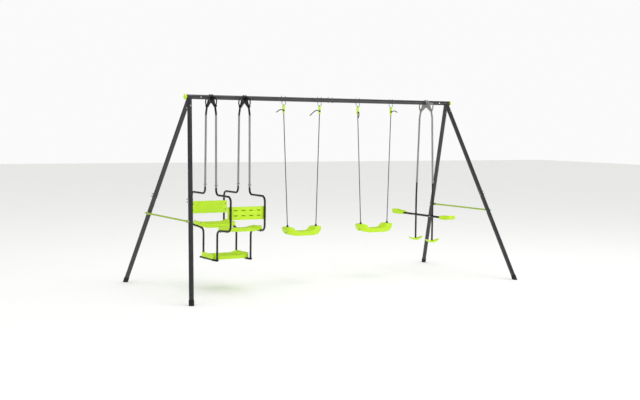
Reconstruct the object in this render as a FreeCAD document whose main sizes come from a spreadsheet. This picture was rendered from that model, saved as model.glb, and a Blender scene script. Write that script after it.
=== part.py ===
import FreeCAD, Part
import math
import os

import Sketcher

# A children's swing set: two splayed A-frames and a top bar carry a face-to-face glider,
# two rope swings and a see-saw glider. Millimetres, Z up, X along the bar, Y front to back.
# The origin is on the ground in the middle of the feet.

Vector = FreeCAD.Vector
Rotation = FreeCAD.Rotation
Placement = FreeCAD.Placement

X_AXIS = Vector(1, 0, 0)
Y_AXIS = Vector(0, 1, 0)
Z_AXIS = Vector(0, 0, 1)

SIZES = {
    # top bar, in two halves that plug together
    "bar_height": 1780,
    "bar_dia": 42,
    "bar_wall": 1.5,
    "bar_reach": 1496,
    "bar_seam": 113,
    "bar_swage": 120,
    "bar_bolt_near": 47,
    "bar_bolt_far": 96,
    "swage_gap": 0.2,
    "cap_flange": 17,
    "cap_rim": 2.5,
    "cap_plug": 25,
    # legs: each an upper tube over the drawn-in end of a lower tube
    "leg_root": 1461,
    "leg_splay": 320,
    "leg_spread": 780,
    "leg_dia": 42,
    "leg_wall": 1.5,
    "leg_seam": 1064,
    "leg_swage": 96,
    "leg_bolt_near": 30,
    "leg_bolt_far": 57,
    # corner connectors: the legs plug into two stubs, and a drawn-in end plugs into the bar
    "sleeve_gap": 0.1,
    "stub_seam": 129,
    "stub_swage": 60,
    "stub_bore": 55,
    "stub_bolt": 98,
    "corner_seam": 1392,
    "corner_swage": 70,
    "corner_bolt": 36,
    # rubber foot caps, cut level to stand flat
    "foot_wall": 2.5,
    "foot_cup": 48,
    "foot_inset": 17,
    # cross braces, flattened at the ends
    "brace_height": 682,
    "brace_dia": 16,
    "brace_wall": 1.5,
    "brace_flat": 5,
    "brace_tongue": 24,
    "brace_taper": 26,
    # bolts
    "bolt_dia": 8,
    "bolt_gap": 0.2,
    "bolt_head": 15,
    "bolt_head_height": 4.5,
    "nut_flats": 13,
    "nut_height": 6.5,
    "thread_end": 4,
    "long_thread_end": 11,
    "pin_gap": 0.05,
    "turn_gap": 0.3,
    "slot_slide": 4.8,
    "slot_lift": 0.5,
    # swing hangers: bowed bolts through the bar
    "bow_dia": 8,
    "bow_pitch": 40,
    "bow_bottom": 1722,
    "swing_pitch": 400,
    "swing_left": -280.5,
    "swing_right": 562,
    # hooks, ropes and swing seats
    "hook_width": 26,
    "hook_depth": 13,
    "hook_low": 1645,
    "hook_eye_width": 10,
    "hook_eye_gap": 1.2,
    "hook_eye_wall": 4.5,
    "rope_dia": 10,
    "rope_gap": 0.7,
    "rope_socket": 14,
    "knot_dia": 20,
    "seat_shift": 14,
    "seat_hole_pitch": 318,
    "seat_width": 394,
    "seat_depth": 126,
    "seat_low": 465,
    "seat_lobe_top": 550,
    "seat_corner": 46,
    "seat_dip": 44,
    "seat_edge": 7,
    # brackets for the rigid hangers
    "glider_left": -1245,
    "glider_right": -901,
    "seesaw_place": 1203,
    "bracket_plate": 8,
    "bracket_ring": 5,
    "bracket_width": 36,
    "bracket_bolt_dia": 6,
    "bracket_bolt_pitch": 24,
    "pivot_reach": 88,
    "pivot_height": 1700,
    # rigid hangers
    "rod_dia": 19,
    "rod_wall": 1.5,
    "fork_gap": 0.3,
    "fork_depth": 21,
    "elbow_reach": 109,
    "elbow_height": 1628,
    "elbow_stub": 10,
    "spigot": 45,
    "joint_height": 950,
    # face-to-face glider
    "glider_joint_reach": 119,
    "arm_height": 885,
    "arm_reach": 426,
    "frame_bend": 50,
    "rail_front": 557,
    "rail_back": 574,
    "glider_foot_reach": 150,
    "glider_foot_height": 286,
    "foot_end": 12,
    "pan_front": 176,
    "pan_back": 372,
    "pan_overhang": 5,
    "pan_thickness": 33,
    "pan_drop": 15,
    "pan_rise": 34,
    "back_low": 676,
    "back_high": 794,
    "back_thickness": 22,
    "back_overhang": 19,
    "rest_bar_end": 12,
    "rest_pan_depth": 244,
    "rest_overhang": 15,
    "rest_pan_thickness": 33,
    "rest_pan_drop": 8,
    "rest_pan_rise": 44,
    # see-saw glider
    "seesaw_joint_reach": 138,
    "beam_reach": 144,
    "beam_height": 614,
    "beam_dia": 22,
    "beam_wall": 1.5,
    "beam_gap": 0.4,
    "beam_half": 442,
    "saddle_inner": 326,
    "saddle_outer": 506,
    "saddle_width": 88,
    "peg_height": 341,
    "peg_width": 168,
    "peg_depth": 42,
    "peg_rise": 30,
    "peg_thickness": 19,
    "peg_socket": 16,
}

doc = FreeCAD.newDocument("SwingSet")
sheet = doc.addObject("Spreadsheet::Sheet", "Sizes")
for row, (alias, number) in enumerate(SIZES.items(), start=1):
    sheet.set(f"A{row}", alias)
    sheet.set(f"B{row}", str(number))
    sheet.setAlias(f"B{row}", alias)
doc.recompute()

nodes = []


def size(alias):
    return float(getattr(sheet, alias))


def keep(feature, label):
    """Names a sub-part and lists it for writing."""
    feature.Label = label
    nodes.append(feature)
    return feature


# ---- sketches and bodies ----


def new_body(label):
    return keep(doc.addObject("PartDesign::Body", label), label)


def new_sketch(body, role, name):
    sketch = body.newObject("Sketcher::SketchObject", name)
    plane = [f for f in body.Origin.OriginFeatures if f.Role == role][0]
    sketch.AttachmentSupport = [(plane, "")]
    sketch.MapMode = "FlatFace"
    return sketch


def draw_circle(sketch, diameter, across=None, along=None):
    """A circle of a bound diameter, on the sketch's origin or at bound distances from it."""
    across_now = sheet.evalExpression(across) if across else 0
    along_now = sheet.evalExpression(along) if along else 0
    radius_now = sheet.evalExpression(diameter) / 2
    centre = Vector(across_now, along_now, 0)
    circle = sketch.addGeometry(Part.Circle(centre, Z_AXIS, radius_now), False)
    bound = [("Diameter", (circle,), diameter, 2 * radius_now)]
    if across:
        bound.append(("DistanceX", (-1, 1, circle, 3), across, across_now))
    if along:
        bound.append(("DistanceY", (-1, 1, circle, 3), along, along_now))
    if not across:
        sketch.addConstraint(Sketcher.Constraint("PointOnObject", circle, 3, -2))
    if not along:
        sketch.addConstraint(Sketcher.Constraint("PointOnObject", circle, 3, -1))
    for kind, places, expression, now in bound:
        number = sketch.addConstraint(Sketcher.Constraint(kind, *places, float(now)))
        sketch.setExpression(f"Constraints[{number}]", expression)


def draw_polygon(sketch, corners):
    """A closed polygon; each corner is a pair of expressions on the sheet."""
    now = [Vector(sheet.evalExpression(a), sheet.evalExpression(b), 0) for a, b in corners]
    for number, start in enumerate(now):
        stop = now[(number + 1) % len(now)]
        sketch.addGeometry(Part.LineSegment(start, stop), False)
    for number, (across, along) in enumerate(corners):
        following = (number + 1) % len(now)
        sketch.addConstraint(Sketcher.Constraint("Coincident", number, 2, following, 1))
        for kind, expression, at in (
            ("DistanceX", across, now[number].x),
            ("DistanceY", along, now[number].y),
        ):
            tie = Sketcher.Constraint(kind, -1, 1, number, 1, float(at))
            placed = sketch.addConstraint(tie)
            sketch.setExpression(f"Constraints[{placed}]", expression)


def draw_outline(sketch, geometry):
    for piece in geometry:
        sketch.addGeometry(piece, False)


def pad(body, sketch, length, both_ways=False):
    feature = body.newObject("PartDesign::Pad", sketch.Name + "Pad")
    feature.Profile = sketch
    feature.setExpression("Length", length)
    feature.Midplane = both_ways
    body.Tip = feature
    return feature


def revolve(body, sketch):
    feature = body.newObject("PartDesign::Revolution", sketch.Name + "Turn")
    feature.Profile = sketch
    feature.ReferenceAxis = (sketch, ["V_Axis"])
    feature.Angle = 360
    body.Tip = feature
    return feature


def cut_through(body, sketch):
    """A pocket both ways through the whole body; it must take material away."""
    doc.recompute()
    before = body.Shape.Volume
    feature = body.newObject("PartDesign::Pocket", sketch.Name + "Cut")
    feature.Profile = sketch
    feature.Type = "ThroughAll"
    feature.Midplane = True
    body.Tip = feature
    doc.recompute()
    if body.Shape.Volume > before - 1:
        raise ValueError(f"{body.Label}: {sketch.Name} cuts nothing")
    return feature


def round_edges(body, radius, wanted):
    """Fillets the body's edges that pass the test."""
    doc.recompute()
    base = body.Tip
    names = [f"Edge{n}" for n, edge in enumerate(base.Shape.Edges, start=1) if wanted(edge)]
    feature = body.newObject("PartDesign::Fillet", body.Name + "Round")
    feature.Base = (base, names)
    feature.setExpression("Radius", radius)
    body.Tip = feature
    return feature


# ---- outlines, routes and plain shapes ----


def rounded(corners, radii, closed=True):
    """Lines and arcs through the corners, each corner turned at its own radius."""
    count = len(corners)
    geometry = []
    last = None
    first = None
    for n, corner in enumerate(corners):
        if not closed and n in (0, count - 1):
            start = stop = corner
        else:
            back = (corners[n - 1] - corner).normalize()
            ahead = (corners[(n + 1) % count] - corner).normalize()
            half = back.getAngle(ahead) / 2
            reach = radii[n] / math.tan(half)
            start = corner + back * reach
            stop = corner + ahead * reach
            inward = (back + ahead).normalize()
            middle = corner + inward * (radii[n] / math.sin(half) - radii[n])
        if last is not None:
            geometry.append(Part.LineSegment(last, start))
        if first is None:
            first = start
        if start != stop:
            geometry.append(Part.Arc(start, middle, stop))
        last = stop
    if closed:
        geometry.append(Part.LineSegment(last, first))
    return geometry


def wire_of(geometry):
    return Part.Wire([piece.toShape() for piece in geometry])


def rod_between(start, stop, diameter):
    along = stop - start
    return Part.makeCylinder(diameter / 2, along.Length, start, along)


def tube_between(start, stop, outer, inner):
    return rod_between(start, stop, outer).cut(rod_between(start, stop, inner))


def bent_rod(corners, radii, diameter):
    """A round bar along straight runs joined by tangent arcs."""
    path = wire_of(rounded(corners, radii, closed=False))
    first_run = corners[1] - corners[0]
    section = Part.Wire([Part.makeCircle(diameter / 2, corners[0], first_run)])
    return path.makePipeShell([section], True, False)


def drilled(shape, point, direction, diameter, depth=200):
    """The shape with a round hole through it, on the line through the point."""
    start = point - direction * (depth / 2)
    return shape.cut(Part.makeCylinder(diameter / 2, depth, start, direction))


def hexagon_nut(flats, bore, height):
    corner = flats / math.sqrt(3)
    points = []
    for n in range(7):
        angle = math.radians(60 * n)
        points.append(Vector(corner * math.cos(angle), corner * math.sin(angle), 0))
    nut = Part.Face(Part.makePolygon(points)).extrude(Vector(0, 0, height))
    return nut.cut(Part.makeCylinder(bore / 2, height))


def bolt_with_nut(grip, shank=None, scale=1.0, thread=None):
    """A domed bolt and its nut on the Z axis; they clamp the space from 0 to grip."""
    shank = shank or size("bolt_dia")
    thread = thread or size("thread_end")
    head_radius = size("bolt_head") / 2 * scale
    head_height = size("bolt_head_height") * scale
    nut_height = size("nut_height") * scale
    end = nut_height + thread * scale
    head = Part.makeCylinder(head_radius, head_height, Vector(0, 0, grip))
    rim = [edge for edge in head.Edges if edge.BoundBox.ZMin > grip + head_height / 2]
    head = head.makeFillet(head_height * 0.6, rim)
    bolt = head.fuse(Part.makeCylinder(shank / 2, grip + end, Vector(0, 0, -end)))
    nut = hexagon_nut(size("nut_flats") * scale, shank, nut_height)
    nut.translate(Vector(0, 0, -nut_height))
    return [bolt.removeSplitter(), nut]


def aimed(shapes, point, direction, spin=0):
    """Copies of the shapes moved so that their Z axis lies on the direction from the point."""
    place = Placement(point, Rotation(Z_AXIS, direction))
    place = place.multiply(Placement(Vector(), Rotation(Z_AXIS, spin)))
    return [shape.transformed(place.toMatrix()) for shape in shapes]


def feature_of(label, shapes):
    """One node of one or several plain solids."""
    feature = doc.addObject("Part::Feature", label)
    feature.Shape = shapes[0] if len(shapes) == 1 else Part.makeCompound(shapes)
    return keep(feature, label)


# ---- places that several sub-parts share ----


def leg_axes(side, end):
    """A leg's outward normal and its direction down, for side -1 or 1 in X and end -1 or 1 in Y."""
    down = Vector(side * size("leg_splay"), end * size("leg_spread"), -size("bar_height"))
    down.normalize()
    tilt = math.atan2(size("leg_splay"), size("bar_height"))
    outward = Vector(side * math.cos(tilt), 0, math.sin(tilt))
    return outward, down


def leg_place(side, end):
    """The frame of a leg: Z runs down its axis from the bar's axis, X points outward."""
    outward, down = leg_axes(side, end)
    turn = Rotation(outward, down.cross(outward), down, "ZXY")
    return Placement(Vector(side * size("leg_root"), 0, size("bar_height")), turn)


def leg_length_to(height):
    """How far down a leg's axis a height lies."""
    down = leg_axes(1, 1)[1]
    return (size("bar_height") - height) / -down.z


def brackets():
    return {
        "glider_bracket_left": size("glider_left"),
        "glider_bracket_right": size("glider_right"),
        "seesaw_bracket": size("seesaw_place"),
    }


def bow_centres():
    half = size("swing_pitch") / 2
    middles = (size("swing_left"), size("swing_right"))
    return [middle + side * half for middle in middles for side in (-1, 1)]


def bar_drillings():
    """Upright holes in the bar: where along X, and how wide."""
    gap = 2 * size("bolt_gap")
    holes = []
    for distance in ("bar_bolt_near", "bar_bolt_far"):
        holes.append((size("bar_seam") - size(distance), size("bolt_dia") + gap))
    for centre in bow_centres():
        for side in (-1, 1):
            holes.append((centre + side * size("bow_pitch") / 2, size("bow_dia") + gap))
    for centre in brackets().values():
        for side in (-1, 1):
            place = centre + side * size("bracket_bolt_pitch") / 2
            holes.append((place, size("bracket_bolt_dia") + gap))
    return holes


def corner_bolt_place(side):
    return Vector(side * (size("corner_seam") - size("corner_bolt")), 0, size("bar_height"))


def across_leg(side, end):
    """Square to a leg in its A-frame's plane, pointing away from the other leg."""
    outward, down = leg_axes(side, end)
    across = outward.cross(down)
    return across * (end if across.y > 0 else -end)


# ---- tubes with a drawn-in end ----


def stepped_tube(label, width, wall, swage, start, stop):
    """A tube along Z from start to stop whose end below start is drawn in to fit its fellow."""
    body = new_body(label)
    profile = new_sketch(body, "XZ_Plane", label + "Profile")
    full = f"Sizes.{width} / 2"
    bore = f"{full} - Sizes.{wall}"
    thin = f"{bore} - Sizes.swage_gap"
    thin_bore = f"{thin} - Sizes.{wall}"
    tip = f"{start} - Sizes.{swage}"
    shoulder = f"{start} + Sizes.{wall}"
    draw_polygon(
        profile,
        [
            (thin_bore, tip),
            (thin, tip),
            (thin, start),
            (full, start),
            (full, stop),
            (bore, stop),
            (bore, shoulder),
            (thin_bore, shoulder),
        ],
    )
    revolve(body, profile)
    return body


def plain_tube(label, width, wall, start, stop):
    """A tube along Z from start to stop."""
    body = new_body(label)
    profile = new_sketch(body, "XZ_Plane", label + "Profile")
    full = f"Sizes.{width} / 2"
    bore = f"{full} - Sizes.{wall}"
    draw_polygon(profile, [(bore, start), (full, start), (full, stop), (bore, stop)])
    revolve(body, profile)
    return body


def cross_holes(body, role, holes):
    """Round holes across a tube: expressions for the diameter and the place along Z."""
    sketch = new_sketch(body, role, body.Name + role[:2] + "Holes")
    for diameter, along in holes:
        draw_circle(sketch, diameter, along=along)
    cut_through(body, sketch)


# ---- the frame ----


def make_top_bar():
    along_x = Rotation(Z_AXIS, X_AXIS)
    height = Vector(0, 0, size("bar_height"))
    end = "Sizes.corner_seam"
    left = plain_tube("top_bar_left", "bar_dia", "bar_wall", "-" + end, "Sizes.bar_seam")
    right = stepped_tube(
        "top_bar_right", "bar_dia", "bar_wall", "bar_swage", "Sizes.bar_seam", end
    )
    seam = size("bar_seam")
    corner = size("corner_seam") - size("corner_bolt")
    for body, low, high, at in (
        (left, -corner, seam, -corner),
        (right, seam - size("bar_swage"), corner, corner),
    ):
        inside = [(str(d), str(place)) for place, d in bar_drillings() if low < place < high]
        cross_holes(body, "YZ_Plane", inside)
        cross_holes(body, "XZ_Plane", [("Sizes.bolt_dia + 2 * Sizes.bolt_gap", str(at))])
        # local Z becomes X, and local X becomes -Z
        body.Placement = Placement(height, along_x)


def make_end_caps():
    caps = []
    bore = size("bar_dia") / 2 - size("bar_wall") - size("sleeve_gap")
    rim = size("bar_dia") / 2 + size("cap_rim")
    flange = size("cap_flange")
    for side in (-1, 1):
        plug = Part.makeCylinder(bore, size("cap_plug"), Vector(0, 0, -size("cap_plug")))
        disc = Part.makeCylinder(rim, flange)
        edges = [edge for edge in disc.Edges if edge.BoundBox.ZMin > flange / 2]
        disc = disc.makeFillet(flange * 0.4, edges)
        cap = plug.fuse(disc).removeSplitter()
        end = Vector(side * size("bar_reach"), 0, size("bar_height"))
        caps += aimed([cap], end, X_AXIS * side)
    feature_of("bar_end_caps", caps)


def make_corner_connector(side, label):
    """A short bar end with two welded leg stubs and a drawn-in end that plugs into the bar."""
    wall = 2 * size("bar_wall")
    bar = size("bar_dia")
    leg = size("leg_dia")
    thin = bar - wall - 2 * size("swage_gap")
    outer_end = Vector(side * size("bar_reach"), 0, size("bar_height"))
    seam = Vector(side * size("corner_seam"), 0, size("bar_height"))
    tip = seam - X_AXIS * side * size("corner_swage")
    root = Vector(side * size("leg_root"), 0, size("bar_height"))
    body = rod_between(outer_end, seam, bar).fuse(rod_between(seam, tip, thin))
    for end in (-1, 1):
        down = leg_axes(side, end)[1]
        body = body.fuse(rod_between(root, root + down * size("stub_seam"), leg))
    hole = size("bolt_dia") + 2 * size("bolt_gap")
    for end in (-1, 1):
        down = leg_axes(side, end)[1]
        start = root + down * size("stub_bore")
        stop = root + down * (size("stub_seam") + 10)
        body = body.cut(rod_between(start, stop, leg - 2 * size("leg_wall")))
        place = root + down * size("stub_bolt")
        body = drilled(body, place, across_leg(side, end), hole, 80)
    step = seam + X_AXIS * side * size("bar_wall")
    body = body.cut(rod_between(outer_end + X_AXIS * side, step, bar - wall))
    body = body.cut(rod_between(step + X_AXIS * side, tip - X_AXIS * side, thin - wall))
    body = drilled(body, corner_bolt_place(side), Y_AXIS, hole, 80)
    feature_of(label, [body.removeSplitter()])


def make_leg(side, end, name):
    hole = "Sizes.bolt_dia + 2 * Sizes.bolt_gap"
    joint = [(hole, f"Sizes.leg_seam - Sizes.leg_bolt_{which}") for which in ("near", "far")]
    upper = stepped_tube(
        name + "_upper", "leg_dia", "leg_wall", "stub_swage", "Sizes.stub_seam", "Sizes.leg_seam"
    )
    cross_holes(upper, "YZ_Plane", joint)
    cross_holes(upper, "XZ_Plane", [(hole, "Sizes.stub_bolt")])
    foot = str(leg_length_to(0))
    lower = stepped_tube(
        name + "_lower",
        "leg_dia",
        "leg_wall",
        "leg_swage",
        "Sizes.leg_seam",
        f"{foot} - Sizes.foot_inset",
    )
    brace = str(leg_length_to(size("brace_height")))
    cross_holes(lower, "YZ_Plane", joint + [(hole, brace)])
    upper.Placement = leg_place(side, end)
    lower.Placement = leg_place(side, end)


def make_foot_caps():
    """Cups on the ends of the legs, cut level at the ground."""
    caps = []
    length = leg_length_to(0)
    bore = size("leg_dia") + 2 * size("sleeve_gap")
    outer = bore + 2 * size("foot_wall")
    for side in (-1, 1):
        for end in (-1, 1):
            down = leg_axes(side, end)[1]
            root = Vector(side * size("leg_root"), 0, size("bar_height"))
            top = root + down * (length - size("foot_cup"))
            seat = root + down * (length - size("foot_inset"))
            cup = rod_between(top, root + down * (length + outer), outer)
            cup = cup.cut(rod_between(top, seat, bore))
            ground = Part.makeBox(400, 400, 200, Vector(-200, -200, -200))
            ground.translate(Vector(side * (size("leg_root") + size("leg_splay")),
                                    end * size("leg_spread"), 0))
            caps.append(cup.cut(ground))
    feature_of("foot_caps", caps)


def brace_place(side):
    """The frame of an A-frame's brace: Y along it, X outward, origin between the leg axes."""
    outward, down = leg_axes(side, 1)
    reach = leg_length_to(size("brace_height"))
    middle = Vector(side * (size("leg_root") + abs(down.x) * reach), 0, size("brace_height"))
    return Placement(middle, Rotation(outward, Y_AXIS, outward.cross(Y_AXIS), "ZXY"))


def brace_half_length():
    down = leg_axes(1, 1)[1]
    return down.y * leg_length_to(size("brace_height"))


def make_brace(side, label):
    """A tube along Y with flattened, rounded ends that lie on the outside of the legs."""
    half = brace_half_length()
    radius = size("brace_dia") / 2
    flat = size("brace_flat")
    tongue = size("brace_tongue") / 2
    clear = size("leg_dia") / 2 / math.cos(math.radians(30))
    round_end = half - clear - 8 - size("brace_taper")
    centre = Vector(size("leg_dia") / 2 + flat / 2, 0, 0)
    start = centre - Y_AXIS * round_end
    stop = centre + Y_AXIS * round_end
    brace = rod_between(start, stop, 2 * radius)
    for end in (-1, 1):
        sections = []
        for reach, wide, high in (
            (round_end, radius, radius),
            (round_end + size("brace_taper"), flat / 2, tongue),
        ):
            middle = centre + Y_AXIS * end * reach
            if high > wide:
                ellipse = Part.Ellipse(middle + Z_AXIS * high, middle + X_AXIS * wide, middle)
                sections.append(Part.Wire([ellipse.toShape()]))
            else:
                sections.append(Part.Wire([Part.makeCircle(radius, middle, Y_AXIS)]))
        brace = brace.fuse(Part.makeLoft(sections, True))
        inner = round_end + size("brace_taper") - 2
        box = Part.makeBox(flat, half - inner, 2 * tongue)
        low = centre - X_AXIS * flat / 2 - Z_AXIS * tongue
        low = low + Y_AXIS * (inner if end > 0 else -half)
        box.translate(low)
        brace = brace.fuse(box)
        eye = centre + Y_AXIS * end * half - X_AXIS * flat / 2
        brace = brace.fuse(Part.makeCylinder(tongue, flat, eye, X_AXIS))
    brace = brace.removeSplitter()
    hollow = radius - size("brace_wall")
    brace = brace.cut(rod_between(start, stop, 2 * hollow))
    for end in (-1, 1):
        hole = size("bolt_dia") + 2 * size("bolt_gap")
        brace = drilled(brace, centre + Y_AXIS * end * half, X_AXIS, hole, 60)
    place = brace_place(side)
    feature = feature_of(label, [brace])
    feature.Placement = place


def make_tube_bolts():
    """Bolts of the bar's seams, the leg joints and the corner stubs."""
    shapes = []
    bar_half = size("bar_dia") / 2
    leg_half = size("leg_dia") / 2
    on_bar = bolt_with_nut(2 * bar_half)
    on_stub = bolt_with_nut(2 * leg_half)
    on_leg = bolt_with_nut(2 * leg_half, thread=size("long_thread_end"))
    for distance in ("bar_bolt_near", "bar_bolt_far"):
        high = Vector(size("bar_seam") - size(distance), 0, size("bar_height") + bar_half)
        shapes += aimed(on_bar, high, -Z_AXIS)
    for side in (-1, 1):
        shapes += aimed(on_bar, corner_bolt_place(side) + Y_AXIS * bar_half, -Y_AXIS)
        for end in (-1, 1):
            outward, down = leg_axes(side, end)
            root = Vector(side * size("leg_root"), 0, size("bar_height"))
            for distance in ("leg_bolt_near", "leg_bolt_far"):
                place = root + down * (size("leg_seam") - size(distance))
                shapes += aimed(on_leg, place + outward * leg_half, outward * -1)
            across = across_leg(side, end)
            place = root + down * size("stub_bolt") - across * leg_half
            shapes += aimed(on_stub, place, across)
    feature_of("tube_bolts", shapes)


def make_brace_bolts():
    shapes = []
    leg_half = size("leg_dia") / 2
    grip = 2 * leg_half + size("brace_flat")
    bolt = bolt_with_nut(grip, thread=size("long_thread_end"))
    for side in (-1, 1):
        place = brace_place(side)
        for end in (-1, 1):
            outside = Vector(leg_half + size("brace_flat"), end * brace_half_length(), 0)
            outward = leg_axes(side, end)[0]
            shapes += aimed(bolt, place.multVec(outside), outward * -1)
    feature_of("brace_bolts", shapes)


# ---- bracket for rigid hangers ----


def ear_outline(side):
    """The plate of one ear, from the bar out to the loop that holds the pivot."""
    height = size("bar_height")
    pivot = size("pivot_height")
    reach = size("pivot_reach")
    boss = 13
    corners = [
        Vector(0, height - size("bar_dia") / 2 - 24, 0),
        Vector(side * (reach - 8), pivot - boss, 0),
        Vector(side * (reach + 16), pivot - boss, 0),
        Vector(side * (reach + 38), pivot + 40, 0),
        Vector(side * (reach + 22), pivot + 78, 0),
        Vector(0, height + 14, 0),
    ]
    return rounded(corners, [2, 12, 14, 20, 16, 2])


def window_outline(side):
    pivot = size("pivot_height")
    reach = size("pivot_reach")
    corners = [
        Vector(side * (reach - 2), pivot + 17, 0),
        Vector(side * (reach + 16), pivot + 17, 0),
        Vector(side * (reach + 28), pivot + 41, 0),
        Vector(side * (reach + 16), pivot + 64, 0),
        Vector(side * (reach - 22), pivot + 60, 0),
    ]
    return rounded(corners, [6, 6, 12, 8, 6])


def make_bracket(label, place):
    """A cast bracket: a ring round the bar with a looped ear each side."""
    body = new_body(label)
    ring = new_sketch(body, "YZ_Plane", label + "Ring")
    bore = "Sizes.bar_dia + 2 * Sizes.sleeve_gap"
    draw_circle(ring, f"{bore} + 2 * Sizes.bracket_ring", along="Sizes.bar_height")
    pad(body, ring, "Sizes.bracket_width", both_ways=True)
    for side, which in ((-1, "Front"), (1, "Back")):
        ear = new_sketch(body, "YZ_Plane", label + which)
        draw_outline(ear, ear_outline(side))
        pad(body, ear, "Sizes.bracket_plate", both_ways=True)
        window = new_sketch(body, "YZ_Plane", label + which + "Window")
        draw_outline(window, window_outline(side))
        cut_through(body, window)
    holes = new_sketch(body, "YZ_Plane", label + "Bores")
    draw_circle(holes, bore, along="Sizes.bar_height")
    pin = "Sizes.bolt_dia + 2 * Sizes.pin_gap"
    draw_circle(holes, pin, across="Sizes.pivot_reach", along="Sizes.pivot_height")
    draw_circle(holes, pin, across="-Sizes.pivot_reach", along="Sizes.pivot_height")
    cut_through(body, holes)
    bolts = new_sketch(body, "XY_Plane", label + "Bolts")
    hole = "Sizes.bracket_bolt_dia + 2 * Sizes.bolt_gap"
    draw_circle(bolts, hole, across="Sizes.bracket_bolt_pitch / 2")
    draw_circle(bolts, hole, across="-Sizes.bracket_bolt_pitch / 2")
    cut_through(body, bolts)
    body.Placement = Placement(Vector(place, 0, 0), Rotation())


def make_bracket_bolts():
    shapes = []
    outer = size("bar_dia") / 2 + size("sleeve_gap") + size("bracket_ring")
    pair = bolt_with_nut(2 * outer, size("bracket_bolt_dia"), 0.7)
    for centre in brackets().values():
        for side in (-1, 1):
            place = centre + side * size("bracket_bolt_pitch") / 2
            shapes += aimed(pair, Vector(place, 0, size("bar_height") - outer), Z_AXIS)
    feature_of("bracket_bolts", shapes)


# ---- rope swings ----


def make_bow_bolts():
    """U-bolts that hang from the bar, with a nut above and below it on each leg."""
    shapes = []
    half = size("bow_pitch") / 2
    radius = size("bow_dia") / 2
    bar_top = size("bar_height") + size("bar_dia") / 2
    bar_low = size("bar_height") - size("bar_dia") / 2
    nut = hexagon_nut(size("nut_flats"), size("bow_dia"), size("nut_height"))
    top = bar_top + size("nut_height") + size("thread_end")
    bend = size("bow_bottom") + half
    for centre in bow_centres():
        circle = Part.Wire([Part.makeCircle(radius, Vector(centre - half, 0, top), -Z_AXIS)])
        arc = Part.Arc(
            Vector(centre - half, 0, bend),
            Vector(centre, 0, bend - half),
            Vector(centre + half, 0, bend),
        )
        route = [
            Part.LineSegment(Vector(centre - half, 0, top), Vector(centre - half, 0, bend)),
            arc,
            Part.LineSegment(Vector(centre + half, 0, bend), Vector(centre + half, 0, top)),
        ]
        shapes.append(wire_of(route).makePipeShell([circle], True, False))
        for side in (-1, 1):
            for height in (bar_top, bar_low - size("nut_height")):
                shapes.append(nut.translated(Vector(centre + side * half, 0, height)))
    feature_of("swing_bow_bolts", shapes)


def hook_shape(centre):
    """A moulded hook: an eye round the bow, and a block that takes the rope from below."""
    axis = size("bow_bottom")
    eye = size("bow_dia") / 2 + size("hook_eye_gap")
    outer = eye + size("hook_eye_wall")
    width = size("hook_eye_width")
    half = size("hook_width") / 2
    depth = size("hook_depth")
    low = size("hook_low")
    shoulder = axis - outer + 4
    outline = [
        Vector(-5, low, 0),
        Vector(5, low, 0),
        Vector(9.5, low + 14, 0),
        Vector(9.5, shoulder - 22, 0),
        Vector(half, shoulder - 6, 0),
        Vector(half, shoulder, 0),
        Vector(7, shoulder - 2, 0),
        Vector(-7, shoulder - 2, 0),
        Vector(-half, shoulder, 0),
        Vector(-half, shoulder - 6, 0),
        Vector(-9.5, shoulder - 22, 0),
        Vector(-9.5, low + 14, 0),
    ]
    radii = [3, 3, 8, 8, 2, 1.5, 4, 4, 1.5, 2, 8, 8]
    face = Part.Face(wire_of(rounded(outline, radii)))
    block = face.extrude(Vector(0, 0, depth))
    block.rotate(Vector(), X_AXIS, 90)
    block.translate(Vector(centre, depth / 2, 0))
    at = Vector(centre - width / 2, 0, axis)
    block = block.fuse(Part.makeCylinder(outer, width, at, X_AXIS))
    neck = Part.makeBox(width, 2 * outer * 0.8, outer + 4, at + Vector(0, -outer * 0.8, -outer - 4))
    trim = Part.makeBox(width, depth, outer + 4, at + Vector(0, -depth / 2, -outer - 4))
    block = block.fuse(neck.common(trim))
    return block.cut(Part.makeCylinder(eye, width, at, X_AXIS)).removeSplitter()


# Each free rope end: points from inside its knot, as (X from the hook's middle, Y, Z).
TAILS = {
    "left_swing_rope_left": [
        (-8, -17, 1673), (-33, -18, 1682), (-61, -19, 1676), (-92, -21, 1653)
    ],
    "left_swing_rope_right": [
        (-8, -17, 1672), (-34, -18, 1682), (-65, -20, 1674), (-94, -21, 1651), (-121, -20, 1627)
    ],
    "right_swing_rope_left": [
        (0, -17, 1666), (3, -23, 1648), (-2, -26, 1630), (-14, -26, 1604)
    ],
    "right_swing_rope_right": [
        (-8, -17, 1677), (18, -19, 1690), (44, -20, 1688), (66, -21, 1673)
    ],
}


def arc_radii(points):
    """The largest tangent arc at each inner point: 0.45 of the shorter run beside it."""
    radii = [0]
    for before, at, after in zip(points, points[1:], points[2:]):
        back = at - before
        ahead = after - at
        half_turn = back.getAngle(ahead) / 2
        radii.append(0.45 * min(back.Length, ahead.Length) / math.tan(half_turn))
    return radii + [0]


def make_rope(label, hook_centre, seat_hole):
    """A rope from its socket in the hook to its socket in the seat, its knot and its free end."""
    top = Vector(hook_centre, 0, size("hook_low") + size("rope_socket"))
    low = Vector(seat_hole, 0, size("seat_lobe_top") - size("rope_socket") + 2 * size("rope_gap"))
    taut = rod_between(low, top, size("rope_dia"))
    route = [Vector(hook_centre + x, y, z) for x, y, z in TAILS[label]]
    radius = size("knot_dia") / 2
    knot = Part.makeSphere(radius, Vector(route[0].x, -size("hook_depth") / 2 - radius, route[0].z))
    radii = arc_radii(route)
    tail = bent_rod(route, radii, size("rope_dia"))
    length = wire_of(rounded(route, radii, closed=False)).Length
    section = math.pi * size("rope_dia") ** 2 / 4
    print(label, "radii", [round(r) for r in radii[1:-1]], "length", round(length),
          "volume ratio", round(tail.Volume / (section * length), 4))
    feature_of(label, [taut, knot, tail.cut(knot)])


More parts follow.
